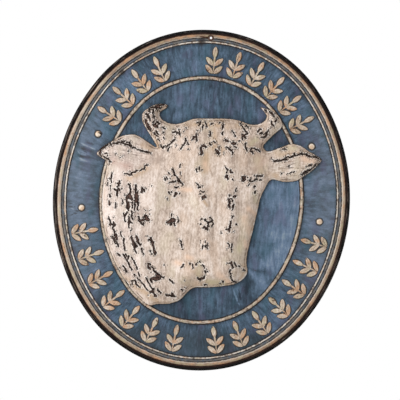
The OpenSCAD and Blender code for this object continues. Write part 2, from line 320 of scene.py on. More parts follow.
# Dents beside the hole, where a nail has rubbed, and in the bead: middle, half length, half
# width and depth. There is rust above the first and all round the hole.
dents = [(-13, hole_y - 1.5, 12, 2.4, 1.1), (-19, half_h - bead_at, 4, 3, 1.2)]
NAIL_RUST = (-12, hole_y + 0.6, 13, 1.5)
HOLE_RUST_R = 6.4


def long_spot(x, y, at_x, at_y, half_long, half_wide):
    """1 in the middle of a level spot with blunt ends, and 0 well outside it."""
    return np.exp(-(((x - at_x) / half_long) ** 4) - ((y - at_y) / half_wide) ** 2)


def pressed_line(inset, at, width, height):
    """Height of a line whose section is an arc of a circle."""
    r = (width**2 / 4 + height**2) / (2 * height)
    u = np.clip(np.abs(inset - at), 0, width / 2)
    return np.sqrt(r**2 - u**2) - (r - height)


def pressed_height(inset):
    """Height of the sheet's front over its plate."""
    return (
        pressed_line(inset, roll_at, ROLL_W, ROLL_H)
        + pressed_line(inset, bead_at, BEAD_W, BEAD_H)
        + pressed_line(inset, ring_at, RING_W, RING_H)
    )


# Folds that fan out from the muzzle's corner: the angle that each runs at, half its width in
# degrees, and its height. They rise over the first distances and fade out over the second, and
# wander by a few degrees on the way.
FAN_AT = (100, -132)
FAN_RISE, FAN_FADE = (2, 14), (36, 66)
FAN_WANDER, WANDER_RUN = 3, 9
fan_folds = [(-13, 8, -1.0), (-45, 12, 0.65), (-79, 13, -0.6)]

# Ripples across the band beside the left ear's tip: the angle and the inset of their middle,
# half their reach each way, and the angle from one crest to the next
RIPPLE_AT, RIPPLE_IN = 0.243, 52
RIPPLE_HALF_TURN, RIPPLE_HALF_WIDE = 0.07, 14
RIPPLE_PITCH = 0.045
FOLD_H = 1.1


def folds_at(x, y):
    """Folds where the press drew the sheet in, from -1 in their valleys to 1 on their crests."""
    fan_r = np.hypot(x - FAN_AT[0], y - FAN_AT[1])
    fan_a = np.degrees(np.arctan2(y - FAN_AT[1], x - FAN_AT[0]))
    fan_a = fan_a + FAN_WANDER * np.sin(fan_r / WANDER_RUN)
    fan = sum(tall * np.exp(-(((fan_a - at) / half) ** 2)) for at, half, tall in fan_folds)
    fan = fan * smooth_step(*FAN_RISE, fan_r) * (1 - smooth_step(*FAN_FADE, fan_r))
    turn = np.arctan2(y, side_c - x) - RIPPLE_AT
    off = np.hypot(x - side_c, y) - (side_r - RIPPLE_IN)
    patch = np.exp(-((turn / RIPPLE_HALF_TURN) ** 4)) * np.exp(-((off / RIPPLE_HALF_WIDE) ** 4))
    return fan + patch * (x < 0) * np.cos(turn * 2 * np.pi / RIPPLE_PITCH)


def wrinkles_at(x, y):
    """Height of the plate's shallow waves and of its folds."""
    waves = 0.18 * np.sin(x / 31 + 1.1) * np.sin(y / 37 + 0.4) + 0.14 * np.sin((x - y) / 22)
    return waves + FOLD_H * folds_at(x, y)


# A pad round the hole stays flat. The pressed lines begin at once outside it, and the waves
# come in slowly.
PAD_R, PAD_EDGE, PAD_CALM = 6.0, 1.3, 12


def plate_height(xy, inset):
    """How far the plate is pressed out."""
    x, y = xy.T
    off_hole = np.hypot(x, y - hole_y)
    pressed = pressed_height(inset) * smooth_step(PAD_R, PAD_R + PAD_EDGE, off_hole)
    dented = sum(deep * long_spot(x, y, *spot) for *spot, deep in dents)
    calm = smooth_step(PAD_R, PAD_R + PAD_CALM, off_hole) * smooth_step(roll_out, roll_at, inset)
    return pressed - dented + wrinkles_at(x, y) * calm


# The mesh's columns: degrees from one to the next, and closer at the hole and at the ripples
COLUMN_STEP = 0.95
close_columns = [(86.5, 93.5, 0.17), (158, 172, 0.3)]


def sheet_columns():
    """Angles that the mesh's columns face."""
    done, out = 0.0, []
    for start, stop, step in close_columns:
        out += [steps(done, start, COLUMN_STEP), steps(start, stop, step)]
        done = stop
    out.append(steps(done, 360, COLUMN_STEP))
    return np.radians(np.concatenate(out))


# The mesh's rows: on the field by shares of the way out from the middle, then outwards from
# inset to inset with the spacing given, round the curl to its end, and in again behind
FIELD_STEP = 0.018
field_rows_at = field_at + 1.5
row_stretches = [
    (field_at + 0.9, 0.72), (band_in, 3.1), (band_out, 0.52), (bead_out, 1.9), (roll_in, 0.75),
]
CURL_END = math.radians(310)
CURL_ROWS_OUT, CURL_ROWS_IN = 34, 22
in_field = field_at + 9

# The insets that the paint goes by: on the curl they stop short of the roll, and on the field
# they grow by the run towards the middle
CURL_PAINT_MOST, INNER_CURL_PAINT = 8.0, 6
FIELD_PAINT_FROM, FIELD_PAINT_RUN = field_at + 3, 200


def sheet_rows(angle):
    """Each row's points, the inset that its paint goes by, and 0 on the front to 1 behind."""
    shares = steps(1.0, 0.0, FIELD_STEP)[::-1]
    ends = [inset for inset, _ in row_stretches[1:]] + [roll_out]
    insets = np.concatenate([steps(start, end, gap) for (start, gap), end in zip(row_stretches, ends)])
    field_edge = oval_line(angle, field_rows_at)
    rows = []

    def add_row(xy, z, inset, back):
        rows.append((np.column_stack([xy, np.broadcast_to(z, len(angle))]), inset, back))

    for share in shares:
        xy = field_edge * share
        paint_inset = FIELD_PAINT_FROM + FIELD_PAINT_RUN * (1 - share)
        add_row(xy, plate_front + plate_height(xy, in_field), paint_inset, 0)
    for inset in insets:
        xy = oval_line(angle, inset)
        add_row(xy, plate_front + plate_height(xy, inset), inset, 0)
    for turn in np.linspace(math.asin((plate_front - curl_r) / curl_r), CURL_END, CURL_ROWS_OUT):
        inset = curl_r + curl_r * math.cos(turn)
        xy, back = oval_line(angle, inset), 0 if turn < math.pi else 0.5
        add_row(xy, curl_r + curl_r * math.sin(turn), min(inset, CURL_PAINT_MOST), back)
    for turn in np.linspace(CURL_END, math.asin((plate_back - curl_r) / curl_in), CURL_ROWS_IN):
        xy = oval_line(angle, curl_r + curl_in * math.cos(turn))
        add_row(xy, curl_r + curl_in * math.sin(turn), INNER_CURL_PAINT, 1)
    for inset in insets[::-1][1::2]:
        xy = oval_line(angle, inset)
        add_row(xy, plate_back + plate_height(xy, inset), inset, 1)
    for share in shares[::-1][::3]:
        xy = field_edge * share
        add_row(xy, plate_back + plate_height(xy, in_field), in_field, 1)
    return rows


# Streaks along the oval are laid out on a circle of this radius, where they meet end to end.
# The sheet's middle counts as lying this far in, and the shade round the head fades out over
# the reach.
ROUND_R = 330
MIDDLE_INSET = 310
SHADE_REACH = 7


def build_sheet(material):
    angle = sheet_columns()
    rows, insets, backs = zip(*sheet_rows(angle))
    count, last = len(angle), (len(rows) - 1) * len(angle)
    here = np.arange(count)
    after = (here + 1) % count
    faces = []
    for a in range(0, last, count):
        faces += np.stack([a + here, a + count + here, a + count + after, a + after], 1).tolist()
    middle_rise = plate_height(np.zeros((1, 2)), in_field)[0]
    middles = [[0, 0, plate_front + middle_rise], [0, 0, plate_back + middle_rise]]
    front = last + count
    faces += [[front, t, n] for t, n in zip(here.tolist(), after.tolist())]
    faces += [[front + 1, last + n, last + t] for t, n in zip(here.tolist(), after.tolist())]
    points = np.vstack([*rows, middles])
    x, y = points[:, 0], points[:, 1]
    back = np.concatenate([np.repeat(backs, count), [0, 1]])
    inset = np.concatenate([np.repeat(insets, count), [MIDDLE_INSET, MIDDLE_INSET]])
    facing = np.concatenate([np.tile(angle, len(rows)), [0, 0]])
    near = np.exp(np.minimum(depth_in_head(points[:, :2]), 0) / SHADE_REACH)
    broken = np.zeros(len(points))
    for at, half in bead_breaks:
        off = np.hypot(*(points[:, :2] - oval_line(math.radians(at), bead_at)).T)
        broken = np.maximum(broken, np.exp(-((off / half) ** 4)))
    hole_rust = np.exp(-((np.hypot(x, y - hole_y) / HOLE_RUST_R) ** 8))
    return new_piece(
        "pressed_sheet", points, faces, material, sharp_angle=40,
        round=np.stack([ROUND_R * np.cos(facing), ROUND_R * np.sin(facing), inset], 1),
        back=back, near=near, broken=broken, folds=folds_at(x, y) * (back < 0.5),
        rusty=np.maximum(long_spot(x, y, *NAIL_RUST), hole_rust),
    )


# The head's outline, clockwise from the notch between the left ear and the left horn. It is
# the solid's, but for the left ear's tip, which reaches 4 mm further out. The neck follows the
# ring's inner flank.
head_corners = [
    (-98, 104), (-113, 127), (-128, 149), (-132, 163), (-130, 173), (-120, 182), (-107, 190),
    (-92, 193), (-80, 190), (-84, 183), (-94, 176), (-95, 168), (-89, 160), (-76, 154), (-60, 153),
    (-46, 157), (-24, 166), (10, 168.5), (45, 170), (68, 167.5), (86, 162),
    (101, 161), (113, 165), (121, 172), (123, 180), (118, 188), (109, 197), (122, 195), (138, 189),
    (149, 180), (156, 168), (155, 157), (141, 143), (122, 121),
    (122, 113), (132, 108), (152, 116), (176, 125.5), (196, 123.5), (216, 112), (240, 99), (236, 88),
    (222, 72), (206, 60), (190, 50), (165, 47), (141, 50),
    (129, 32), (120, 8), (115, -24), (107, -68), (101, -102), (100, -124), (103, -139), (99, -152),
    (86, -164), (66, -171.5), (25, -178), (-4, -180),
    (-18, -191), (-32, -207), (-54, -216), (-78, -218),
]
left_ear_corners = [
    (-203, 71.5), (-214, 76.5), (-220, 83), (-209.5, 97), (-190, 110), (-168, 123), (-146, 126.5),
    (-130, 121), (-112, 110),
]
NECK_FROM, NECK_TO, NECK_STEP = 238, 168, 10
NECK_LAP = 2
neck_angles = range(NECK_FROM, NECK_TO - 1, -NECK_STEP)
neck_corners = [tuple(oval_line(math.radians(angle), field_at - NECK_LAP)) for angle in neck_angles]


def smooth_loop(corners, rounds):
    """A closed curve through the corners. Each round adds a point half way along each side."""
    p = np.array(corners, float)
    for _ in range(rounds):
        before, after, beyond = np.roll(p, 1, 0), np.roll(p, -1, 0), np.roll(p, -2, 0)
        p = np.stack([p, (9 * (p + after) - before - beyond) / 16], 1).reshape(-1, 2)
    return p


head_outline = smooth_loop(head_corners + neck_corners + left_ear_corners, 2)


def depth_in_head(points):
    """How far inside the head's outline each point lies, negative outside it."""
    closed = np.vstack([head_outline, head_outline[:1]])
    off = segment_distance(points, [closed])
    x, y = points.T
    inside = np.zeros(len(points), bool)
    for (ax, ay), (bx, by) in zip(closed[:-1], closed[1:]):
        if ay != by:
            inside ^= ((ay > y) != (by > y)) & (x < ax + (y - ay) / (by - ay) * (bx - ax))
    return np.where(inside, off, -off)


# Colours that were read off the sign, dark to light where there are several
BLUES = [(34, 44, 56), (54, 69, 84), (74, 93, 112), (97, 116, 140), (132, 146, 160)]
TEAL, VIOLET = (52, 86, 100), (86, 84, 110)
SIDE_DUST_AND_LIGHT, LOW_SOOT_AND_SHADE = (122, 116, 112), (48, 54, 56)
CREAMS = [(134, 112, 94), (170, 150, 130), (190, 173, 156), (210, 197, 183)]
TAN, OLIVE = (190, 144, 106), (176, 166, 132)
WHITE_EDGE = (216, 209, 200)
RED_BROWN = (86, 52, 40)
RUST_DASH, THIN_CREAM = (146, 98, 66), (84, 70, 62)
GROOVES = [(46, 43, 44), (134, 127, 119)]
DARK_LINE = (36, 30, 29)
RUSTS = [(34, 24, 21), (92, 60, 43)]
RIM_BLACK, RIM_WORN, RIM_RUST = (5, 4, 4), (112, 100, 93), (58, 34, 27)
BARE_BACK = [(58, 54, 51), (86, 80, 75)]
BACK_RUST = (106, 74, 55)

# Short strokes beside the folds and the left stud, and soft patches on the field: middle, half
# length, half width and lean. The light strokes are painted highlights on the wrinkles' crests,
# the dark ones painted shade in their hollows and along a fold, and the patches painted shade
# beside the head and among the folds by the muzzle's corner.
light_strokes = [
    (-245, 98.5, 9, 1.7, -24), (-230, 93, 8, 1.4, -17), (-257, 83, 4.5, 1.6, -57), (-247, 79, 8, 1.9, -8),
    (-252, 70.5, 6, 1.7, -26), (-243, 67, 5, 1.4, -18), (-263, -33, 5, 1.3, -12), (82, -193, 18, 2.2, -66),
]
dark_strokes = [
    (-247, 90, 5, 1.5, -12), (-244, 85, 4, 1.3, -20), (-252, 75, 5, 1.2, -14), (-267, -23, 4, 1.0, 0),
    (-267, -29, 4.5, 1.5, 0), (-259, -29, 2, 1.6, 0), (-253, -37, 4.5, 1.6, -8), (-257, -42, 4, 1.7, -12),
    (-263, -45, 3, 1.5, 20), (194.8, -63, 20, 1.0, 82), (90.5, -191, 12, 2.2, -72),
]
soft_dark_patches = [(149, -88, 9, 6, 80), (131, -107, 8, 6, 80), (150, -160, 8, 5, 60), (104, -176, 12, 7, 90)]

# Dark lines along the feet of the pressed lines, painted shade where the paint has also gone:
# inset, half width
foot_lines = [
    (roll_out + 0.1, 1.3), (roll_in + 0.2, 1.4), (bead_out, 1.5), (band_out, 1.7),
    (band_in + 0.1, 2.3), (field_at - 0.1, 2.3),
]

# The studs have a dark ring of this radius round them, a painted shadow. Lines of paint are soft
# by this much.
STUDS = ("boss_upper_left", "boss_left", "boss_upper_right", "boss_right")
STUD_RING = 8.9
SOFT_EDGE = 0.45


def middle_of(node):
    """A node's middle in the oval's frame."""
    low, high = box_mm(node)
    return (low.x + high.x) / 2, (low.z + high.z) / 2 - middle_z


class SheetPaint(Paint):
    """The sheet's paint. Its vector round holds a place along the oval, and the inset."""

    def __init__(self):
        super().__init__("slate_blue_sheet")
        self.round = self.attribute("round", "Vector")
        self.to_right = self.part(self.round, 0)
        self.sideways = self.part(self.place, 0)
        self.upright = self.part(self.place, 2)
        self.ragged = self.noise(260, 3, 0.6)
        self.edge = self.sum(self.part(self.round, 2), self.jitter(self.ragged, 0.4))
        self.long_streaks = self.streaks((0.045, 0.045, 0.85), 4, 0.65, self.round)
        self.short_stretches = self.streaks((0.1, 0.1, 0.1), 2, 0.5, self.round)
        # Darker towards the bottom and towards the top of the sign: painted shade, with grime
        low_shade_and_grime = self.spread(self.upright, -0.46, -0.62, 0, -0.055)
        high_shade_and_grime = self.spread(self.upright, -0.14, -0.03, 0, -0.075)
        self.shade_and_grime = self.sum(low_shade_and_grime, high_shade_and_grime)
        self.in_field = self.spread(self.edge, field_at - 4, field_at - 1)
        self.on_roll = self.between(roll_out, roll_in)
        self.on_bead = self.between(bead_at - 1.8, bead_at + 1.8)
        self.on_ring = self.between(band_in + 0.3, field_at - 0.3)
        self.raised = self.sum(self.on_roll, self.on_bead, self.on_ring)
        self.on_rim = self.spread(self.edge, roll_out + 0.1, roll_out - 0.6)

    def between(self, low, high):
        """1 between two insets, with soft edges."""
        past_low = self.spread(self.edge, low - SOFT_EDGE, low + SOFT_EDGE)
        return self.product(past_low, self.spread(self.edge, high + SOFT_EDGE, high - SOFT_EDGE))

    def brush_strokes(self):
        """Upright strokes on the field, and strokes along the oval on the band."""
        field = self.streaks((190, 80, 34), 4, 0.6)
        band = self.streaks((0.16, 0.16, 0.055), 4, 0.62, self.round)
        return self.node("Mix", {0: self.in_field, 2: band, 3: field})

    def strokes_and_patches(self):
        """Pushes on the blue's tone, one for each stroke and patch: painted highlights and painted shade.
        """
        pushes = []
        for spots, push in ((light_strokes, 0.17), (dark_strokes, -0.15), (soft_dark_patches, -0.075)):
            for spot in spots:
                off = self.sum(self.spot(*spot), self.jitter(self.ragged, 0.25))
                pushes.append(self.spread(off, 1.25, 0.55, 0, push))
        return pushes

    def blue(self, strokes, fine):
        lit_side = self.product(
            self.spread(self.sideways, 0.09, 0.19), self.spread(self.upright, -0.20, -0.32), self.in_field,
        )
        # The near attribute darkens the field beside the head, a painted shadow. The folds attribute paints
        # highlights on the crests of the folds and shade in their valleys.
        tone = self.weighted(
            (strokes, 0.40), (self.noise(13, 3, 0.55), 0.40), (self.noise(62, 4, 0.6), 0.23), (fine, 0.15),
            (lit_side, 0.165), (self.attribute("near"), -0.075), (self.attribute("folds"), 0.13),
        )
        # Painted shade on the band beside the bead and beside the ring
        by_bead = self.spread(self.edge, band_out + 9, band_out, 0, -0.06)
        by_ring = self.spread(self.edge, band_in - 8, band_in, 0, -0.05)
        tone = self.sum(tone, by_bead, by_ring, *self.strokes_and_patches(), self.shade_and_grime)
        shade = self.ramp(tone, (0.39, 0.50, 0.58, 0.68, 0.81), BLUES)
        # Greyer and lighter towards the left and right ends: painted light, with dust
        shade = self.mix(self.spread(self.size_of(self.sideways), 0.17, 0.26, 0, 0.2), shade, SIDE_DUST_AND_LIGHT)
        tint = self.streaks((40, 40, 18), 2, 0.5)
        shade = self.mix(self.spread(tint, 0.52, 0.70, 0, 0.4), shade, TEAL)
        shade = self.mix(self.spread(tint, 0.46, 0.30, 0, 0.4), shade, VIOLET)
        # Darker along the bottom: painted shade, with soot
        return self.mix(self.spread(self.upright, -0.585, -0.615, 0, 0.5), shade, LOW_SOOT_AND_SHADE)

    def cream(self):
        """The pressed lines: streaks along their length, in stretches of tan, olive and white."""
        stretches = self.streaks((0.045, 0.045, 0.12), 3, 0.6, self.round)
        # The pressed lines are darker towards the top and the bottom, painted shade with grime, and darker
        # towards the right, painted shade.
        tone = self.weighted((self.long_streaks, 0.66), (self.noise(34, 3, 0.6), 0.34), (self.shade_and_grime, 2.2))
        tone = self.sum(tone, self.spread(self.to_right, 150, 300, 0, -0.055))
        cream = self.ramp(tone, (0.36, 0.45, 0.54, 0.64), CREAMS)
        cream = self.mix(self.spread(stretches, 0.52, 0.62, 0, 0.6), cream, TAN)
        cream = self.mix(self.spread(stretches, 0.47, 0.38, 0, 0.45), cream, OLIVE)
        rubbed = self.product(
            self.on_roll, self.spread(self.edge, roll_at - 1.4, roll_at - 4.2),
            self.spread(self.long_streaks, 0.38, 0.56, 0.3, 0.95),
        )
        cream = self.mix(rubbed, cream, RED_BROWN)
        inner_slope = self.spread(self.edge, roll_at + 1.2, roll_at + 3.2, 0, 0.45)
        roll_crest = self.product(self.on_roll, inner_slope)
        bead_crest = self.product(self.on_bead, self.spread(self.short_stretches, 0.40, 0.56, 0.2, 0.8))
        ring_crest = self.product(self.on_ring, self.spread(self.long_streaks, 0.48, 0.62, 0.1, 0.6))
        cream = self.mix(self.sum(roll_crest, bead_crest, ring_crest), cream, WHITE_EDGE)
        dashes = self.spread(self.streaks((0.11, 0.11, 0.5), 3, 0.6, self.round), 0.55, 0.63, 0, 0.55)
        cream = self.mix(self.product(self.between(roll_at - 1.0, roll_at + 2.0), dashes), cream, RUST_DASH)
        thin = self.spread(self.noise(0.09, 3, 0.65, self.round), 0.52, 0.62, 0, 0.75)
        return self.mix(self.product(self.sum(self.on_ring, self.on_bead), thin), cream, THIN_CREAM)

    def groove(self):
        shade = self.mix(self.spread(self.long_streaks, 0.38, 0.62), *GROOVES)
        return self.mix(self.spread(self.short_stretches, 0.47, 0.60, 0, 0.55), shade, BLUES[2])

    def dark_lines(self, shade):
        """Dark paint at the foot of each line, painted shade where the paint has also gone, the paint
        gone in the bead's breaks and in flecks, and a painted shadow ring round the studs."""
        lines = self.largest(*[
            self.spread(self.size_of(self.sum(self.edge, -inset)), half, half * 0.35)
            for inset, half in foot_lines
        ])
        lines = self.product(lines, self.spread(self.noise(60, 3, 0.6), 0.30, 0.50, 0.35, 0.95))
        shade = self.mix(lines, shade, DARK_LINE)
        shade = self.mix(self.product(self.attribute("broken"), 0.9), shade, DARK_LINE)
        flecks = self.product(self.noise(330, 3, 0.7), self.sum(self.raised, 0.25))
        shade = self.mix(self.spread(flecks, 0.79, 0.87), shade, DARK_LINE)
        # A painted shadow ring round each stud
        rings = self.largest(*[
            self.spread(
                self.sum(self.spot(*middle_of(stud), STUD_RING, STUD_RING), self.jitter(self.ragged, 0.08)),
                1.05, 0.92, 0, 0.7,
            )
            for stud in STUDS
        ])
        return self.mix(rings, shade, DARK_LINE)

    def rim(self):
        """The curled edge: black, worn in streaks to grey-brown on the left."""
        streaks = self.streaks((0.03, 0.03, 0.9), 4, 0.65, self.round)
        worn_side = self.product(
            self.spread(self.to_right, -215, -315),
            self.spread(self.edge, 1.4, 3.0), self.spread(self.edge, roll_out - 1.4, roll_out - 3.4),
        )
        bare = self.spread(self.sum(streaks, self.product(worn_side, 0.075)), 0.56, 0.68)
        bare = self.product(bare, self.spread(self.upright, -0.675, -0.58, 0.05, 1))
        shade = self.mix(bare, RIM_BLACK, RIM_WORN)
        by_roll = self.product(
            self.spread(self.edge, roll_out - 3, roll_out - 1), self.spread(streaks, 0.36, 0.56, 0.2, 0.8),
        )
        return self.mix(by_roll, shade, RIM_RUST)

    def back(self):
        """Bare steel gone dull, with fine rust in specks and in faint upright runs."""
        dull = self.mix(self.spread(self.noise(60, 5, 0.7), 0.35, 0.65), *BARE_BACK)
        runs = self.streaks((110, 110, 9), 4, 0.6)
        dull = self.mix(self.spread(runs, 0.50, 0.72, 0, 0.55), dull, BACK_RUST)
        return self.mix(self.spread(self.noise(330, 4, 0.7), 0.58, 0.70, 0, 0.7), dull, BACK_RUST)


def sheet_paint():
    paint = SheetPaint()
    strokes, fine = paint.brush_strokes(), paint.noise(420, 2, 0.6)
    in_groove = paint.product(paint.between(roll_in, bead_out), 0.8)
    shade = paint.mix(in_groove, paint.blue(strokes, fine), paint.groove())
    shade = paint.mix(paint.raised, shade, paint.cream())
    shade = paint.dark_lines(shade)
    rusty = paint.sum(paint.attribute("rusty"), paint.product(paint.ragged, 0.5))
    rust = paint.mix(paint.noise(300, 3, 0.6), *RUSTS)
    shade = paint.mix(paint.spread(rusty, 0.66, 0.85), shade, rust)
    shade = paint.mix(paint.on_rim, shade, paint.rim())
    shade = paint.mix(paint.spread(paint.attribute("back"), 0.6, 0.8), shade, paint.back())
    roughness = paint.sum(paint.spread(fine, 0.3, 0.7, 0.58, 0.78), paint.product(paint.on_rim, 0.2))
    height = paint.weighted((strokes, 0.5), (paint.ragged, 0.5))
    return paint.finish(shade, roughness, height, 0.0005, gloss=0.2)


pressed_sheet = build_sheet(sheet_paint())

HOLE_R = 3.05
DRILL_ENDS = (-2, 20)


def open_the_hole(piece):
    """Bores the hanging hole through the sheet, where the eyelet goes."""
    profile = [(HOLE_R, z) for z in DRILL_ENDS]
    drill = lathe("drill", profile, (0, hole_y), piece.data.materials[0], closed=False, turns=48)
    cut = piece.modifiers.new("hole", "BOOLEAN")
    cut.object, cut.operation, cut.solver = drill, "DIFFERENCE", "MANIFOLD"
    bored = made_mesh(piece)
    piece.modifiers.clear()
    piece.data = bored
    bpy.data.objects.remove(drill)


open_the_hole(pressed_sheet)
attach(pressed_sheet, "root")
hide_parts("face_sheet")


# The wire: drawn steel, 7 mm thick, bent to the oval before the sheet's edge was curled round
# it. Its two ends meet at the bottom. It only shows through the curl's open side, from behind.
WIRE_STEEL, WIRE_RUST = (92, 90, 88), (96, 62, 44)


def wire_steel():
    paint = Paint("drawn_wire")
    rust = paint.noise(160, 4, 0.6)
    shade = paint.mix(paint.spread(rust, 0.42, 0.62), WIRE_STEEL, WIRE_RUST)
    return paint.finish(shade, paint.spread(rust, 0.3, 0.7, 0.35, 0.7), rust, 0.0003, metal=0.8)


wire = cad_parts["rim_wire"]
wire.data.materials.clear()
wire.data.materials.append(wire_steel())


# The cow's head: raised from a sheet of its own and sat on the field, its edge rolled down to
# the plate and lifted over the ring at the right horn, the ears and the neck.
# Its forms fade in over the runs, from the rolled edge inwards. The seat falls back to the
# plate over the fall.
SHELL_T = 1.4
EDGE_H, EDGE_RUN = 12.0, 9.0
FACE_H = 8.0
FORM_RUN, FACE_RUN = 2.2 * EDGE_RUN, 5 * EDGE_RUN
SEAT_GAP = 0.3
SEAT_FALL = 8
TOP_ROOM = 0.1
tallest_head = wall_y - 1000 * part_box("cow_head")[0].y - SHELL_T - TOP_ROOM

# One swelling or hollow of the face each: middle, half length along its lean, half width,
# lean in degrees and height as a share of the face's own height
head_forms = {
    "brow": (20, 95, 130, 34, 0, 0.5), "left_ridge": (5, -20, 110, 12, 97, 0.5),
    "right_ridge": (62, -20, 110, 12, 92, 0.5), "muzzle": (30, -146, 78, 30, 3, 1.1),
    "left_nostril": (-12, -150, 20, 12, 70, 0.4), "right_nostril": (84, -146, 18, 13, 100, 0.4),
    "left_eye": (-62, 38, 17, 10, -25, 0.6), "right_eye": (100, 48, 12, 8, 5, 0.5),
    "left_socket": (-38, 16, 30, 18, -50, -0.5), "left_cheek": (-100, -10, 62, 26, 80, 0.6),
    "right_cheek": (100, -20, 60, 10, 88, 0.4), "jaw_hollow": (-75, -95, 70, 18, 118, -0.4),
    "neck_fold": (-140, -10, 60, 9, 92, 0.5), "front_fold": (-120, -120, 70, 9, 112, 0.5),
    "side_fold": (-172, -50, 70, 9, 105, 0.4), "left_ear_cup": (-158, 84, 46, 16, -8, -0.6),
    "right_ear_cup": (184, 78, 48, 15, 12, -0.6),
}

# Creases chased into the head: half width, depth and the line that each follows
head_creases = {
    "left_ear_top": (2.2, 2.4, [(-214, 86), (-205, 99), (-190, 107), (-165, 106), (-146, 101), (-108, 90)]),
    "left_ear_tip": (2.0, 2.0, [(-213, 80), (-203, 75), (-190, 65)]),
    "left_ear_foot": (2.4, 1.6, [(-158, 44), (-140, 46), (-112, 65)]),
    "right_ear_top": (2.2, 2.4, [(143, 88), (165, 92), (185, 103), (205, 106), (237, 99)]),
    "right_ear_foot": (3.0, 1.6, [(124, 74), (131, 60), (135, 52)]),
    "right_nostril": (2.2, 2.2, [(66, -140), (67, -150), (74, -160), (84, -163)]),
    "left_nostril": (2.2, 2.2, [(13, -135), (20, -146), (15, -158), (4, -161)]),
    "left_eye_lid": (1.8, 1.4, [(-76, 44), (-62, 52), (-48, 45), (-38, 30)]),
    "left_eye_bag": (1.8, 1.2, [(-74, 34), (-60, 27), (-46, 30)]),
    "right_eye_lid": (1.8, 1.2, [(88, 52), (100, 57), (114, 56)]),
    "chin": (4.0, 1.6, [(-12, -181), (-40, -172), (-70, -150)]),
}


def head_height(points, depth):
    """Height of the head's front over its seat."""
    x, y = points.T
    form_fade = 1 - np.exp(-((depth / FORM_RUN) ** 2))
    face_fade = 1 - np.exp(-((depth / FACE_RUN) ** 2))
    h = EDGE_H * (1 - np.exp(-depth / EDGE_RUN)) + form_fade * face_fade * FACE_H
    for cx, cy, length, width, lean, share in head_forms.values():
        c, s = math.cos(math.radians(lean)), math.sin(math.radians(lean))
        u, v = (x - cx) * c + (y - cy) * s, (y - cy) * c - (x - cx) * s
        h += form_fade * share * FACE_H * np.exp(-((u / length) ** 4) - (v / width) ** 2)
    for width, deep, line in head_creases.values():
        crease = np.exp(-((segment_distance(points, [line]) / width) ** 2))
        h -= deep * crease * smooth_step(0.5, 5, depth)
    hair = 0.16 * np.sin(x * 1.05 + 2.2 * np.sin(y / 17)) * np.sin(y / 23 + x / 9)
    dents = 0.35 * np.sin(x / 13 + 1.7 * np.sin(y / 29)) * np.sin(y / 19 + 0.8)
    return h + (hair + dents) * smooth_step(3, 16, depth)


def head_seat(points, depth):
    """Height of the head's back edge over the wall: it lifts where it laps over the ring."""
    off = np.maximum(0, np.abs(inset_of(*points.T) - ring_at) - RING_W / 4) / SEAT_FALL
    lift = np.where(off < 1, RING_H * (1 - off**2) * np.exp(-depth / EDGE_RUN), 0)
    return plate_front + SEAT_GAP + lift


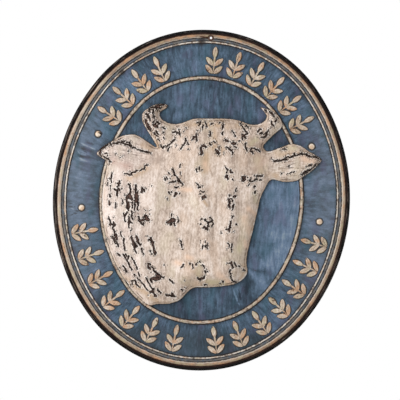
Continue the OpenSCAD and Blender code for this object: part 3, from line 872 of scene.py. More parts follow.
# Where the cream paint has chipped off: each chip's width, then the points that it runs through
chips = {
    "left_horn": [
        (3, -114, 183, -105, 185), (6, -103, 188, -98, 185), (3.2, -97, 189, -88, 191.5),
        (3, -104, 183, -103, 181), (4.5, -109.5, 179.5), (3, -117.5, 182, -116, 173.5),
        (2, -110, 178, -110, 170, -107, 163, -104, 159),
        (3.4, -124, 171, -119, 167, -116, 164, -115, 156), (3, -120, 166, -119, 161.5),
        (6, -124, 158, -122, 152, -118, 144, -113.5, 139), (3, -109.5, 154, -106, 156),
        (3, -104.5, 151.5, -99, 154), (3.4, -101, 156, -95.5, 150.5), (5.5, -107, 148.5, -99, 144.5),
        (3.5, -98.5, 148, -98, 145), (2.4, -88.5, 144.5, -83, 142), (4, -86.5, 134.5),
        (3.2, -105, 132, -99, 126), (2.8, -102, 137, -95.5, 129), (2.4, -97, 121, -93, 118),
        (1.6, -86, 125.5, -83, 121),
    ],
    "right_horn": [
        (2.6, 119.5, 192, 122.5, 190.5), (3.4, 129.5, 189.5, 135.5, 183.5), (3.8, 139, 180),
        (3.4, 143, 176.5, 143, 169.5), (4.4, 134, 169.5, 136, 164, 138, 162),
        (2.8, 107.5, 146, 109.5, 151, 113.5, 152), (3.2, 110, 142.5, 117, 145.5),
        (3, 115, 136, 121, 136, 125.5, 141.5, 129, 152), (2, 119, 141.5, 125, 146), (2, 132.5, 155.5),
    ],
    "brow": [
        (3, -89, 107.5, -86, 101.5, -83, 106),
        (3, -77.5, 105, -74, 109.5, -69, 113, -64, 118.5, -61.5, 120), (4.4, -65, 118, -63, 119.5),
        (2.4, -76, 98, -71, 105), (3.2, -67, 135.5, -60.5, 138), (3.2, -58, 136, -57.5, 133),
        (3, -55.5, 142, -52.5, 137, -53, 131), (3, -62.5, 126.5), (3, -39.5, 146.5), (2.6, -44, 138.5),
        (3, -58, 108), (2.8, -40, 124.5, -38, 119.5, -42, 114, -45.5, 107, -49, 102.5),
        (3.6, -35.5, 115.5, -33, 113), (3, -33, 102.5), (3.4, -25.5, 123, -23.5, 129),
        (3, -23, 128.5, -17.5, 128.5), (3, -18, 136, -18.5, 128.5, -16, 121), (3, -16, 141),
        (2.6, -11, 143), (3, -17.5, 158, -12, 159), (3.4, -11.5, 160.5, -13.5, 152.5),
        (3, -6.5, 148.5, -4.5, 154.5), (2.8, -1, 160, 2, 150), (5, 11.5, 156.5), (3, 28, 161),
        (3, 35, 160, 35, 148.5), (2.6, 35, 141.5, 35.5, 137), (2.8, 10.5, 141.5, 9.5, 133),
        (2.4, 17.5, 123, 22, 119), (3.6, 10, 118.5, 12.5, 114), (2, 14, 119.5),
        (4.6, 42, 125.5, 48, 124), (5, 56, 120.5, 62.5, 119.5), (2.4, 55, 145, 58, 141),
        (2.4, 60, 138.5, 62.5, 135.5), (3.6, 71, 126),
        (2.8, 71, 160, 75.5, 154.5, 82.5, 147, 87, 142.5), (2, 82.5, 159, 88, 153),
        (5.5, 76, 139, 79, 135.5), (3.4, 80, 138, 87, 142.5), (4, 79, 135.5, 84, 132),
        (2.4, 76, 134.5, 77, 129.5), (2.8, 83, 122, 84, 113, 88, 106), (4.5, 95.5, 112, 96, 106),
        (3, 99, 107.5, 99.5, 102.5), (2.2, 95.5, 112, 102.5, 112.5, 113, 107.5),
        (3, 44.5, 112.5, 55.5, 105), (2, 57.5, 106, 58, 95.5), (4, 55.5, 104.5),
        (2.4, 59, 113, 66, 112), (2.6, 41, 99), (3, 30, 112, 30.5, 106), (5, 23.5, 105, 30.5, 97),
        (4, -7.5, 106, -3, 113, 3.5, 109.5), (5, -7.5, 106, -4.5, 94.5),
    ],
    "left_ear": [
        (4.2, -214, 81.5, -212.5, 87, -212.5, 92.5), (3.6, -212.5, 94, -204.5, 96.5),
        (3.4, -204, 100.5, -199, 102), (3.6, -197.5, 108, -193.5, 110), (3.2, -193, 101.5, -191, 103.5),
        (2, -191, 110.5, -188, 112), (3, -188, 106.5, -185.5, 106, -180, 106, -177.5, 109),
        (3.4, -174, 109, -162, 106, -157, 104, -149, 102), (3, -171, 112, -164, 111),
        (2.8, -159.5, 110.5, -154, 110, -153, 106.5, -149.5, 104), (3, -147, 99.5, -140.5, 99),
        (1.6, -140, 97.5, -129, 94), (3.2, -128, 94, -109.5, 90.5), (3.4, -154.5, 91.5),
        (2.2, -180, 84.5), (2, -171, 77.5), (1.8, -167, 80.5), (3, -203.5, 83.5, -200, 84.5),
        (3, -197.5, 80), (2.6, -204.5, 77, -195.5, 72.5, -191, 67), (4.4, -191.5, 67.5),
        (2.8, -160.5, 45.5, -151.5, 44, -144.5, 43), (3.2, -147, 48, -140, 49.5, -135.5, 53),
        (1.6, -151, 50.5), (3, -130, 53, -122, 57.5), (2.6, -120.5, 61, -119, 63, -114, 66),
    ],
    "right_ear": [
        (2, 139.5, 93, 142, 91.5),
        (3.2, 143.5, 88.8, 147.5, 89.5, 152, 88.5, 157, 90.5, 163, 92.5, 171, 93.5),
        (1.8, 163, 94, 166, 96.5, 170, 97.5), (1.6, 170, 98, 173, 101), (3, 174, 97.8, 180, 100),
        (2.6, 180, 100, 186, 103, 192, 103.5), (3.6, 185.5, 106), (3, 192, 104, 197, 106.5),
        (4, 199.5, 107), (1.8, 199.5, 111, 200, 106), (2.6, 201, 106.5, 209, 106.5),
        (3.8, 210, 105.5, 214, 103.5, 218, 102), (2.6, 218, 102, 222, 101.5),
        (3, 225, 102.5, 228, 102.5, 232, 100.5, 236, 98.5), (2.4, 160, 113.8, 163.5, 114.3, 167, 114.5),
        (2.6, 174, 79.5, 176.5, 80.2), (2.2, 161.5, 66, 160.5, 62.5),
        (1.4, 174, 64, 180, 66.5, 187.5, 70), (2.4, 201.5, 65, 204, 66.5), (3, 205, 67.5, 212, 72.5),
        (1.8, 212, 72.5, 218, 76), (3.6, 215.5, 83.2, 220.5, 86.2), (1.6, 211.5, 79.5, 215, 82),
        (1.8, 207, 65, 216, 71.5, 226, 81, 232, 90),
    ],
    "left_eye": [
        (2.6, -48, 71, -48, 65), (3.4, -64, 59.5, -61.5, 59.5, -60, 53, -58, 48),
        (4, -58, 48, -56, 47.5), (1.6, -73.5, 55, -70, 52, -68, 48), (1.6, -46, 55, -46, 50),
        (3, -52.5, 44, -51, 40), (5.5, -50, 39.5, -48.5, 36.5),
        (3.2, -48, 36.5, -43, 32.5, -39.5, 29.5), (2.6, -78.5, 41.5, -76.5, 37.5), (3.2, -76.3, 37),
        (2.2, -74.5, 44, -72, 38.5), (2.4, -67, 41), (3.2, -67.5, 32, -65, 33, -62, 35),
        (4.6, -62, 35, -60.5, 34), (2.2, -55.5, 37, -55.5, 33), (2.6, -54.5, 24, -52.5, 21.5),
        (3.8, -52.5, 21.8), (3, -52, 22.5, -48.5, 24), (3.6, -68, 13, -66.5, 10.5),
        (2.2, -66.5, 11, -65.5, 8.5), (2.8, -62, 14, -61.5, 13), (4.6, -53.5, 12, -51, 10.5),
        (4.2, -53, 9, -55.5, 4.5), (1.4, -45.5, 13, -45.5, 9), (2.6, -70.5, 0, -70, -2.2),
    ],
    "right_eye": [
        (5, 81.5, 52.5, 86.5, 52), (5, 86.5, 50, 86, 46), (5, 82, 45.5, 83.5, 44.5), (3, 80.5, 50),
        (3.4, 83, 48.5), (3, 91, 52.5, 92, 51.5), (2.2, 98.5, 52.5, 97.5, 49),
        (4, 96.5, 45.5, 98, 44.8), (2, 98, 44.5, 104, 45.5, 109, 48), (2.8, 105, 57.5, 105, 56.5),
        (3.6, 110, 56, 114, 56, 120, 57), (3.2, 122.5, 57), (3.2, 108, 48.8, 112, 48.8),
        (3, 117, 48.5, 121, 48.3), (2, 97, 40, 94.5, 35), (3.6, 108.5, 35.2, 106.5, 32.5),
        (3.4, 109, 25, 109.5, 20), (2, 69.5, 29, 69.5, 24), (3, 69.8, 22.5),
        (2.2, 61.5, 47, 61.5, 45.5),
    ],
    "nose": [
        (2.4, -14, 64, -13.5, 60, -12.5, 57), (3.4, -8.2, 66.5, -7.5, 63), (2, -3, 62, -3, 60.5),
        (2.6, -11.5, 34.5, -9, 31.5), (3.2, -8.5, 31.5), (2, -7.5, 30, -7.5, 24.5),
        (2.8, -4, 27.5, -3.5, 26), (3.2, 0, 30, 0, 29), (2, -3, 19.5, -2, 18.5),
        (2.6, 0, 16.8, 3, 16.6, 5.5, 18.5), (3, -2.8, 13.4, -2.8, 12.4), (7, 2.5, 6.5, 6, 7),
        (4.5, 4.5, 9.5), (4, 3, 3), (3.6, 47, 69, 49.5, 65.5), (2.6, 49.5, 64, 49, 61),
        (3, 48.5, 60, 49, 58.5), (3, 55.5, 64.5, 57, 60.5, 61, 60), (3, 49.5, 55, 50, 51),
        (6, 47.5, 51.5, 48, 50), (3.6, 49, 50, 52.5, 46.5), (3.4, 52.5, 46.5),
        (2.4, 56.5, 14.5, 56.5, 11), (4.6, 65.5, 11.7, 69, 11.5), (3.6, 55, 5, 57, 3, 57, 0),
        (5.5, 57.5, -3, 58, -8), (4, 59, -11.3), (2.2, 58, 4, 60, 7, 62.5, 7, 64, 4, 63.8, 0.5),
        (3.2, 67.5, -4.5, 66.5, -7), (4, 66.3, -7, 65.5, -10.5), (2.6, 65.5, -10, 64.5, -15),
        (2.4, 65.5, -28, 65.5, -33.5), (3.2, 62.8, -40, 62, -44), (4, 61.8, -46, 62.3, -53),
        (3.6, 54, -57, 58, -57), (4, 60.8, -55.5, 60, -61.5), (3, 72.5, -46, 75, -45.5), (2, 69.5, -60),
        (3, 44.5, -65.5), (2, 59.5, -85, 62, -87.5, 63.2, -93), (2, 59, -96), (2.4, 67, -86, 67.5, -89),
        (4, 67.8, -92), (2.4, 67.5, -95, 67.5, -101), (3.4, 3.5, -37.8), (2.6, 3.5, -38.5, 1.5, -41.5),
        (2.6, 0.8, -47, 1.5, -49.5), (2.4, 8.5, -38, 10.5, -41.5, 15.5, -44.5),
        (3.2, 15.5, -45, 20.5, -43.5, 23.5, -41.5), (2.4, 23.5, -41.5, 25, -38.5, 22, -35.8, 18.5, -34),
        (2.8, 21, -43.5, 26.5, -45, 26.5, -48), (3.2, 25.5, -50, 25.3, -52.5),
        (3.4, 16.3, -46, 16.3, -51, 15.8, -60), (3.4, 7, -57.5, 9.5, -54, 11.5, -55.5, 13, -59),
        (1.8, 4, -84), (1.8, 4, -88), (2.2, 13, -82.5, 14, -86.5), (2.2, 6.5, -93.5, 8.5, -95, 8, -100),
        (2.8, 14, -91.5, 14, -97), (2, 17.5, -88, 18, -92, 21, -93), (2.8, 17.5, -94.5, 18.5, -98.5),
    ],
    "cheek": [
        (2, -59.5, -31, -59.5, -38), (9, -57, -43, -58, -46), (8, -61, -47), (5, -62, -48.5, -68, -50),
        (5, -54, -42, -53, -47), (4, -60, -52, -59, -55), (2.6, -53, -48, -52, -52, -51, -55),
        (2, -58, -52, -56, -53), (1.8, -45.5, -38.5, -45, -43), (3.4, -45, -44.5, -45, -48),
        (3, -113.5, -28), (2.2, -104.5, -28), (2.4, -104.5, -35),
        (3.6, -127.5, -41, -125.5, -47, -121.5, -53.5, -118.5, -57.5), (5.5, -123, -49, -116, -48),
        (3.2, -118.5, -57.5, -115, -53.5), (3, -116.5, -42.5, -112.5, -38), (5, -112.5, -39, -105, -46),
        (7, -112, -44.5, -106, -47),
    ],
    "upper_neck": [
        (3, -185.5, 45, -188, 40, -186.5, 25), (3.4, -191, 32.5), (2.4, -194.5, 25, -194.5, 19.5),
        (1.8, -187.5, 18.5, -187.5, 7), (3, -170, 30, -171, 25, -172.5, 21),
        (3.4, -175, 23.5, -169.5, 24.5), (2.4, -174.5, 17.5, -169.5, 20), (3.8, -180, 12, -174.5, 10),
        (3.4, -171.5, 14.5, -169, 9.5), (4.2, -173, 8, -173, -0.5), (3.4, -165, 14), (3.4, -158.5, 1.5),
        (4, -188, 0.5, -187.5, -4.5), (4.6, -188.5, -14.5, -188, -19.5), (2.2, -161.5, -9, -161, -17),
        (2.6, -175.5, -16, -175, -26), (3, -152, 24.5, -148, 20, -146, 13.5), (4, -146, 13.5, -147, 6),
        (8, -148.5, 2.5, -146.5, -4), (3.4, -143.5, 0.5, -142.5, -8),
        (4, -153.5, 0, -152, -13, -151, -25), (4, -148.5, -13, -148, -29.5),
        (2.8, -141, -11.5, -141, -24.5), (4.2, -136.5, 22.5, -135.5, 17, -136.5, 9.5),
        (2.8, -131.5, 11, -131, 3.5), (8.5, -134, 5, -133, -9), (3, -129.5, -5, -129.5, -28),
        (2.8, -135.5, -11, -135.5, -28.5), (2, -139, -9), (4.4, -123, 19, -123, 9),
        (3.6, -118.5, 15, -118, 11), (2.8, -104, 23.5), (2, -112.5, 17), (3, -157, -35.5, -156, -44.5),
        (3.4, -151, -33.5, -154, -42.5), (2.2, -156, -47, -152.5, -53.5), (2.6, -146.5, -38),
        (3.2, -141.5, -31, -141, -39.5, -139, -47.5), (4, -146, -42, -146, -53, -145, -58.5),
        (2.8, -145.5, -58.5, -145.5, -65), (3, -143.5, -52.5, -139, -55), (4.2, -140.5, -70.5),
        (2.2, -178, -46.5), (2.6, -188.5, -45, -184.5, -54.5, -183.5, -57.5),
        (4.2, -185, -61, -180, -61), (3.6, -177.5, -55, -174.5, -60, -178.5, -66.5),
        (2.8, -178, -68.5, -173.5, -74),
    ],
    "lower_neck": [
        (3, -174, -75, -174.5, -82.5), (5.5, -171, -80, -169, -91), (4, -177.5, -85, -171, -98.5),
        (2.6, -168.5, -95, -164.5, -105), (2.6, -162, -75, -159, -85),
        (3.2, -154.5, -87.5, -153, -102.5, -150.5, -111),
        (4.4, -139, -83.5, -134, -97.5, -130.5, -108.5), (3, -130.5, -108.5, -127, -116),
        (4, -130, -96.5, -127, -103.5), (5, -128, -82.5, -127, -88.5, -120.5, -98.5),
        (3.4, -118, -97.5), (2.8, -117, -105, -112, -118.5), (3.8, -194, -88.5, -189.5, -92.5),
        (3, -166, -118.5, -159.5, -123.5),
        (3, -153.5, -120.5, -146.5, -129.5, -138, -144.5, -134, -151.5),
        (2.2, -149.5, -118.5, -146.5, -124.5), (3, -142.5, -123, -142.5, -128.5),
        (2.6, -136.5, -124.5, -129, -136, -124.5, -146, -122, -149.5), (3.4, -152, -144, -143.5, -157),
        (4.2, -168.5, -150, -163, -154.5), (3, -129, -160.5, -127, -164),
        (2.4, -120.5, -155.5, -117, -164), (2.6, -122.5, -166, -113, -175.5, -105.5, -184, -99, -191.5),
        (2.6, -133.5, -174.5, -131, -182),
        (2.6, -133, -173, -125.5, -172.5, -123.5, -179.5, -114.5, -187.5),
        (2.6, -146.5, -174.5, -136.5, -188.5), (2.8, -105.5, -165, -97.5, -175.5),
        (2.8, -97.5, -177, -91, -186.5), (4, -91, -186.5, -83.5, -201.5), (4, -95, -193, -88.5, -194),
        (5, -84.5, -199, -81.5, -201.5), (3, -86.5, -186.5), (3.4, -79.5, -189, -72, -195.5),
        (2.4, -97.5, -201),
    ],
    "jaw": [
        (2.4, -106.5, -80.5), (4, -99.5, -82.5, -97, -90, -93, -100, -89, -116),
        (4, -93, -91, -95, -97.5), (2.6, -103, -87, -99.5, -86), (5, -89.5, -111, -87, -112),
        (4.4, -98, -110.5), (3, -95, -116.5), (2.6, -38.5, -84, -36.5, -90, -34, -98.5),
        (3, -33.5, -99), (3, -102.5, -136, -95.5, -138.5), (4, -101.5, -139.5, -97, -148),
        (3.4, -94.5, -142, -86, -152, -74.5, -159.5), (3.4, -94, -154.5), (8, -91, -166.5, -77, -166),
        (5, -83.5, -159.5, -76, -162), (3, -76, -160.5, -68.5, -162.5), (3.6, -94.5, -167, -92, -174.5),
        (3, -68.5, -137), (3.4, -56, -165.5, -49, -172), (4, -60.5, -199, -46, -199.5),
        (4.2, -49, -194.5, -43.5, -200.5),
    ],
    "muzzle": [
        (2.4, 3.5, -125, 6, -127.5), (3.6, -17, -131, -15, -132), (2.8, -10.5, -132, -9.5, -136),
        (2.2, -9.5, -136, -8.5, -140), (3.4, -4, -131.5, -3.5, -133), (1.4, -2, -130, 1, -128),
        (3, -29, -133.5, -29.5, -136), (3.8, -31, -138, -33, -140),
        (2.6, 10, -132.5, 12.5, -134.5, 14.5, -138.5), (3, 16, -144, 17, -148.5),
        (1.8, 19, -138.5, 20, -143), (2.4, 21, -145.5), (5, 2.5, -160, 6, -162.5),
        (4, 8, -160.5, 13, -160.8), (3.2, 14, -160, 16, -155.5), (3.4, 17, -172.5, 20, -172.5),
        (2.6, 60.5, -126, 64, -126), (4.4, 67, -125.5, 70.5, -127.5), (3.6, 69.5, -123, 70, -127),
        (3.4, 70, -129, 73, -134.5), (3, 75.5, -123.5, 77, -127), (3.6, 77.5, -128, 80, -131),
        (2, 86, -130, 86.5, -132), (1.8, 94, -135, 94.5, -139), (2.2, 69, -138.5, 67, -140),
        (2.8, 66.3, -142, 66.5, -145), (2.2, 67, -146, 69.5, -149), (2.4, 70.8, -151.5, 69.5, -156),
        (2.8, 70.5, -157.5, 73, -161.5), (3.4, 76, -163, 81, -163.5), (3.4, 52.5, -164, 54, -164),
        (2, 48, -168.5), (2, -26, -167), (3.6, -30, -186, -27, -186), (2, -24, -180.5),
    ],
}
# How far a chip's edge wanders, how far outside the chips all other points count as lying, how
# far round a chip points are looked at, and how far wear reaches beyond the chip's own width
CHIP_WARP, CHIP_REACH, CHIP_NEAR, WORN_REACH = 0.55, 6.0, 18, 6

# Half a chip's width: the least, and as shares of the width given, what it has besides at its
# ends and what it swells by between them
CHIP_LEAST, END_SHARE, SWELL_SHARE = 0.5, 0.38, 0.2


def chip_fields(points):
    """How far inside a chip's edge each point lies, in millimetres, and how worn it is there."""
    x, y = points.T
    warp = np.column_stack([np.sin(y / 2.3 + 1.7 * np.sin(x / 6)), np.sin(x / 2.0 + 2.1 * np.sin(y / 5))])
    wavy = points + CHIP_WARP * warp
    chipped, worn = np.full(len(points), -CHIP_REACH), np.zeros(len(points))
    for width, *line in sum(chips.values(), []):
        line = np.reshape(line, (-1, 2)).astype(float)
        line = np.vstack([line, line[-1] + 0.1])
        low, high = line.min(0) - CHIP_NEAR, line.max(0) + CHIP_NEAR
        near = np.flatnonzero(((points > low) & (points < high)).all(1))
        runs = np.hypot(*np.diff(line, axis=0).T)
        before = np.concatenate([[0], np.cumsum(runs)])
        for start, stop, before_it, run in zip(line[:-1], line[1:], before, runs):
            along = np.clip((wavy[near] - start) @ (stop - start) / run**2, 0, 1)
            off = np.hypot(*(wavy[near] - start - along[:, None] * (stop - start)).T)
            share = (before_it + along * run) / before[-1]
            half = CHIP_LEAST + width * (END_SHARE + SWELL_SHARE * np.sqrt(share * (1 - share)))
            chipped[near] = np.maximum(chipped[near], half - off)
            worn[near] = np.maximum(worn[near], np.exp(-((off / (width + WORN_REACH)) ** 2)))
    return chipped, worn


# Tones laid over the cream: tan in the hollows and along the edges as painted shade, pale on the
# cheekbone and the ridges as painted highlights, rose at the ears as painted shade, and olive and
# peach in a few patches. Each stroke runs from one point to another and has a width.
cream_tones = {
    "tan": [
        (-196, 111, -186, 114, 5), (-126, 107, -112, 99, 7), (150, 104, 205, 108, 6),
        (-40, 153, 80, 157, 6), (30, 166, 46, 153, 6), (18, 147, 23, 106, 5), (4, 92, 4, 62, 9),
        (20, 112, 32, 104, 12), (118, 90, 118, 56, 10), (-20, -173, 62, -166, 7),
        (-14, -132, 8, -162, 9), (-78, -212, -150, -168, 7), (-150, 36, -118, 58, 8),
        (96, -128, 92, -158, 5), (128, 60, 150, 58, 7), (-92, 104, -112, 130, 6), (5, -2, 12, -10, 3),
    ],
    "pale": [
        (-100, 62, -101, -58, 8), (-133, -58, -118, -150, 6), (-46, 20, -50, -40, 8),
        (-162, 4, -152, -62, 5), (10, -20, 14, -108, 7), (42, 0, 38, -120, 7),
        (-200, 30, -186, -80, 6), (-30, -150, -40, -140, 12), (140, 112, 165, 119, 4),
        (134, 56, 142, 56, 4), (80, -138, 94, -152, 8),
    ],
    "olive": [
        (95, 122, 104, 130, 6), (24, -167, 58, -168, 7), (2, -128, 4, -156, 6), (108, 90, 116, 62, 8),
        (108, 20, 112, 4, 5), (86, -76, 84, -98, 7), (170, 117, 186, 118, 6), (-30, -166, -16, -168, 8),
    ],
    "peach": [
        (-47, 19, -24, 20, 5), (98, -12, 111, -22, 6), (92, -32, 104, -62, 8), (94, -78, 98, -92, 4),
        (58, -160, 68, -165, 5), (-45, -130, -35, -133, 6), (-22, -118, -12, -120, 5),
        (46, -150, 52, -154, 7), (205, 98, 224, 92, 8), (3, 75, 8, 66, 5), (-98, 186, -82, 190, 6),
    ],
    "rose": [(-184, 69, -153, 61, 9), (122, 86, 108, 70, 8)],
}


def tone_field(points, strokes):
    """How thickly the strokes of one tone lie at each point, from 0 to 1."""
    tone_layer = np.zeros(len(points))
    for x1, y1, x2, y2, width in strokes:
        off = segment_distance(points, [[(x1, y1), (x2, y2)]])
        tone_layer = np.maximum(tone_layer, np.exp(-((off / width) ** 2)))
    return tone_layer


HEAD_CREAMS = [(160, 141, 128), (190, 172, 158), (206, 188, 175), (228, 214, 204)]
WARM_CREAM, OLIVE_CREAM, COOL_CREAM = (206, 178, 156), (194, 182, 156), (214, 202, 202)
TONE_COLOURS = {
    "tan": (184, 156, 128), "olive": (188, 176, 146), "peach": (220, 188, 164), "rose": (178, 150, 138),
}
EDGE_TAN, SHOULDER_WHITE, BROKEN_LINE = (190, 164, 138), (230, 223, 218), (84, 62, 50)
SCUFF_AND_HIGHLIGHT_WHITE = (238, 230, 223)
BARE_STEEL, CHIP_RIM = [(62, 43, 36), (92, 70, 62)], (28, 15, 9)

# Both ears' middles and leans, half their size, and the size of the scratches along them
ears = [(-160, 86, -10), (186, 82, 12)]
EAR_LONG, EAR_WIDE = 52, 30
EAR_SCRATCH = (1 / 45, 1 / 60, 1 / 520)


class HeadPaint(Paint):
    """The head's paint. Its depth is how far in from the head's edge a point lies."""

    def __init__(self):
        super().__init__("chipped_cream_head")
        self.strokes = self.streaks((210, 60, 17), 4, 0.6)
        self.blotches = self.noise(24, 4, 0.6)
        self.fine = self.noise(480, 3, 0.65)
        self.grain = self.streaks((260, 200, 130), 4, 0.7)
        self.broken = self.streaks((300, 200, 150), 2, 0.5)
        self.on_brow = self.spread(self.part(self.place, 2), -0.30, -0.22)
        self.depth = self.sum(self.attribute("depth"), self.jitter(self.grain, 0.5))

    def brushed_ears(self):
        """The ears are brushed and scratched along their length: a push on the tone, and the
        scratches."""
        pushes, scratches = [], []
        for x, y, lean in ears:
            along_ear = self.node("Mapping", {
                "Vector": self.place, "Rotation": (0, -math.radians(lean), 0), "Scale": EAR_SCRATCH,
            }, vector_type="TEXTURE")
            scratch = self.noise(1, 3, 0.65, along_ear)
            on_ear = self.spread(self.spot(x, y, EAR_LONG, EAR_WIDE, lean), 1.05, 0.8)
            pushes.append(self.product(on_ear, self.jitter(scratch, 0.12)))
            scratches.append(self.product(on_ear, self.spread(scratch, 0.345, 0.30)))
        return self.sum(*pushes), self.largest(*scratches)

    def cream(self, ear_push):
        # The pale strokes lighten the cheekbone and the ridges, a painted highlight
        tone = self.weighted(
            (self.strokes, 0.24), (self.streaks((62, 40, 15), 3, 0.55), 0.34), (self.blotches, 0.34),
            (self.fine, 0.12), (self.attribute("pale"), 0.07), (self.on_brow, -0.035),
        )
        tone = self.sum(tone, self.jitter(self.grain, 0.10), ear_push)
        shade = self.ramp(tone, (0.39, 0.48, 0.55, 0.66), HEAD_CREAMS)
        tint = self.streaks((30, 30, 14), 2, 0.5)
        shade = self.mix(self.spread(tint, 0.52, 0.68, 0, 0.32), shade, WARM_CREAM)
        shade = self.mix(self.spread(tint, 0.47, 0.32, 0, 0.32), shade, OLIVE_CREAM)
        on_left = self.spread(self.part(self.place, 0), -0.05, -0.17, 0, 0.22)
        shade = self.mix(on_left, shade, COOL_CREAM)
        thin = self.spread(self.blotches, 0.3, 0.6, 0.25, 0.85)
        # Tan and rose are painted shade, olive and peach tints of the cream
        for tone_layer, tone_layer_colour in TONE_COLOURS.items():
            shade = self.mix(self.product(self.attribute(tone_layer), thin), shade, tone_layer_colour)
        return shade

    def rolled_edge(self, shade):
        """Tan, rubbed white along its shoulder and painted lighter there as a highlight, with a dark
        broken line behind it.
        """
        along = self.noise(42, 3, 0.6)
        inwards = self.sum(self.depth, self.product(self.blotches, 6))
        shade = self.mix(self.spread(inwards, 12, 4, 0, 0.38), shade, EDGE_TAN)
        shoulder = self.product(
            self.spread(self.depth, 0.8, 1.5), self.spread(self.depth, 3.8, 2.4),
            self.spread(along, 0.50, 0.66, 0, 0.8),
        )
        shade = self.mix(shoulder, shade, SHOULDER_WHITE)
        line = self.product(
            self.spread(self.depth, 3.2, 4.0), self.spread(self.depth, 6.2, 5.0),
            self.spread(along, 0.54, 0.40, 0, 0.7),
        )
        return self.mix(line, shade, BROKEN_LINE)

    def chipping(self, scratches):
        """How far the paint is off at each point, and how far inside a torn chip it lies."""
        ragged = self.streaks((620, 300, 420), 3, 0.7)
        torn = self.sum(self.spread(ragged, 0.28, 0.72, -0.7, 0.8), self.jitter(self.broken, 0.45))
        inside = self.sum(self.attribute("chip"), torn)
        specks = self.sum(
            self.streaks((560, 300, 300), 3, 0.7), self.spread(self.attribute("worn"), 0.1, 1, 0, 0.18),
            self.spread(self.depth, 14, 4, 0, 0.04), self.product(self.on_brow, 0.02),
        )
        off = self.largest(self.spread(inside, -0.1, 0.4), self.spread(specks, 0.735, 0.77), scratches)
        return off, inside


def head_paint():
    """Cream, with chips of bare dark steel. Each chip has a black rim, a painted shadow of the
    paint's edge, and is scuffed white round it, partly as a painted highlight.
    """
    paint = HeadPaint()
    ear_push, scratches = paint.brushed_ears()
    shade = paint.rolled_edge(paint.cream(ear_push))
    chip, inside = paint.chipping(scratches)
    # White round each chip: scuffed paint, and partly a painted highlight on the paint's edge
    scuff_and_highlight = paint.spread(paint.broken, 0.42, 0.58, 0.15, 0.8)
    shade = paint.mix(paint.product(paint.spread(inside, -2.6, -0.5), scuff_and_highlight), shade, SCUFF_AND_HIGHLIGHT_WHITE)
    bare = paint.mix(paint.spread(paint.broken, 0.35, 0.65), *BARE_STEEL)
    # The black rim inside each chip's edge is a painted shadow of the paint's edge
    bare = paint.mix(paint.spread(inside, 1.3, 2.6), CHIP_RIM, bare)
    shade = paint.mix(chip, shade, bare)
    # A dark line round the head's foot: painted shade
    shade = paint.mix(paint.spread(paint.depth, 1.3, 0.5, 0, 0.85), shade, DARK_LINE)
    height = paint.weighted((chip, -0.9), (paint.strokes, 0.5), (paint.fine, 0.25))
    return paint.finish(shade, paint.spread(chip, 0, 1, 0.6, 0.8), height, 0.0005, gloss=0.2)


# The head's mesh: a fine square net in front, and a coarse one behind, which hugs the sheet
# and is never seen
NET, BACK_NET = 1.27, 5.0
BACK_DROP = 3.5
net_low = np.floor(head_outline.min(0) / NET) - 2
net_high = np.ceil(head_outline.max(0) / NET) + 2


def front_net():
    """A square net that is cut off along the outline: its points, how far in each lies, its
    faces, and the sides that run along the cut."""
    xs, ys = (NET * np.arange(a, b + 1) for a, b in zip(net_low, net_high))
    nx, ny = len(xs), len(ys)
    grid = np.stack(np.meshgrid(xs, ys), -1).reshape(-1, 2)
    depth = depth_in_head(grid)
    # No point stays too near the outline, so that no cut side is too short
    least = NET / 8
    depth = np.where(np.abs(depth) < least, np.where(depth < 0, -least, least), depth)

    inside = depth > 0
    total = first_cut = int(inside.sum())
    number = np.full(len(grid), -1)
    number[inside] = np.arange(total)
    points, depths, cuts = [grid[inside]], [depth[inside]], {}
    for way, step in (("across", 1), ("up", nx)):
        a = np.flatnonzero(depth[:-step] * depth[step:] < 0)
        t = (depth[a] / (depth[a] - depth[a + step]))[:, None]
        points.append(grid[a] + t * (grid[a + step] - grid[a]))
        depths.append(np.zeros(len(a)))
        cuts[way] = dict(zip(a.tolist(), range(total, total + len(a))))
        total += len(a)

    at = np.arange(len(grid)).reshape(ny, nx)
    cells = np.stack([at[:-1, :-1], at[:-1, 1:], at[1:, 1:], at[1:, :-1]], -1).reshape(-1, 4)
    corners_in = inside[cells].sum(1)
    faces, edges = number[cells[corners_in == 4]].tolist(), []
    for cell in cells[(corners_in > 0) & (corners_in < 4)].tolist():
        sides = (("across", cell[0]), ("up", cell[1]), ("across", cell[3]), ("up", cell[0]))
        face = []
        for corner, (way, start) in zip(cell, sides):
            if inside[corner]:
                face.append(int(number[corner]))
            if start in cuts[way]:
                face.append(cuts[way][start])
        faces.append(face)
        edges += [(a, b) for a, b in zip(face, face[1:] + face[:1]) if min(a, b) >= first_cut]
    return np.vstack(points), np.concatenate(depths), faces, edges


# What the filling keeps, and how near two points count as one
INSIDE_ONLY = 1
JOIN_WITHIN = 1e-7


def back_net(rim, rim_sides):
    """A coarse net inside the rim: its points, from the rim's on, how far in each lies, and its
    faces."""
    xs, ys = (np.arange(a, b, BACK_NET) for a, b in zip(NET * net_low, NET * net_high))
    inner = np.stack(np.meshgrid(xs, ys), -1).reshape(-1, 2)
    depth = depth_in_head(inner)
    kept = depth > BACK_NET / 2
    points = np.vstack([rim, inner[kept]])
    net = delaunay_2d_cdt([Vector(p) for p in points], rim_sides, [], INSIDE_ONLY, JOIN_WITHIN)
    came_from = [old[0] for old in net[3]]
    faces = [[came_from[p] for p in reversed(face)] for face in net[2]]
    return points, np.concatenate([np.zeros(len(rim)), depth[kept]]), faces


# The chips and the tones over the cream were placed on the plate as the camera sees them, and
# from this far off the raised front looks a little larger than the plate behind it
CAMERA_OFF = 1938.0


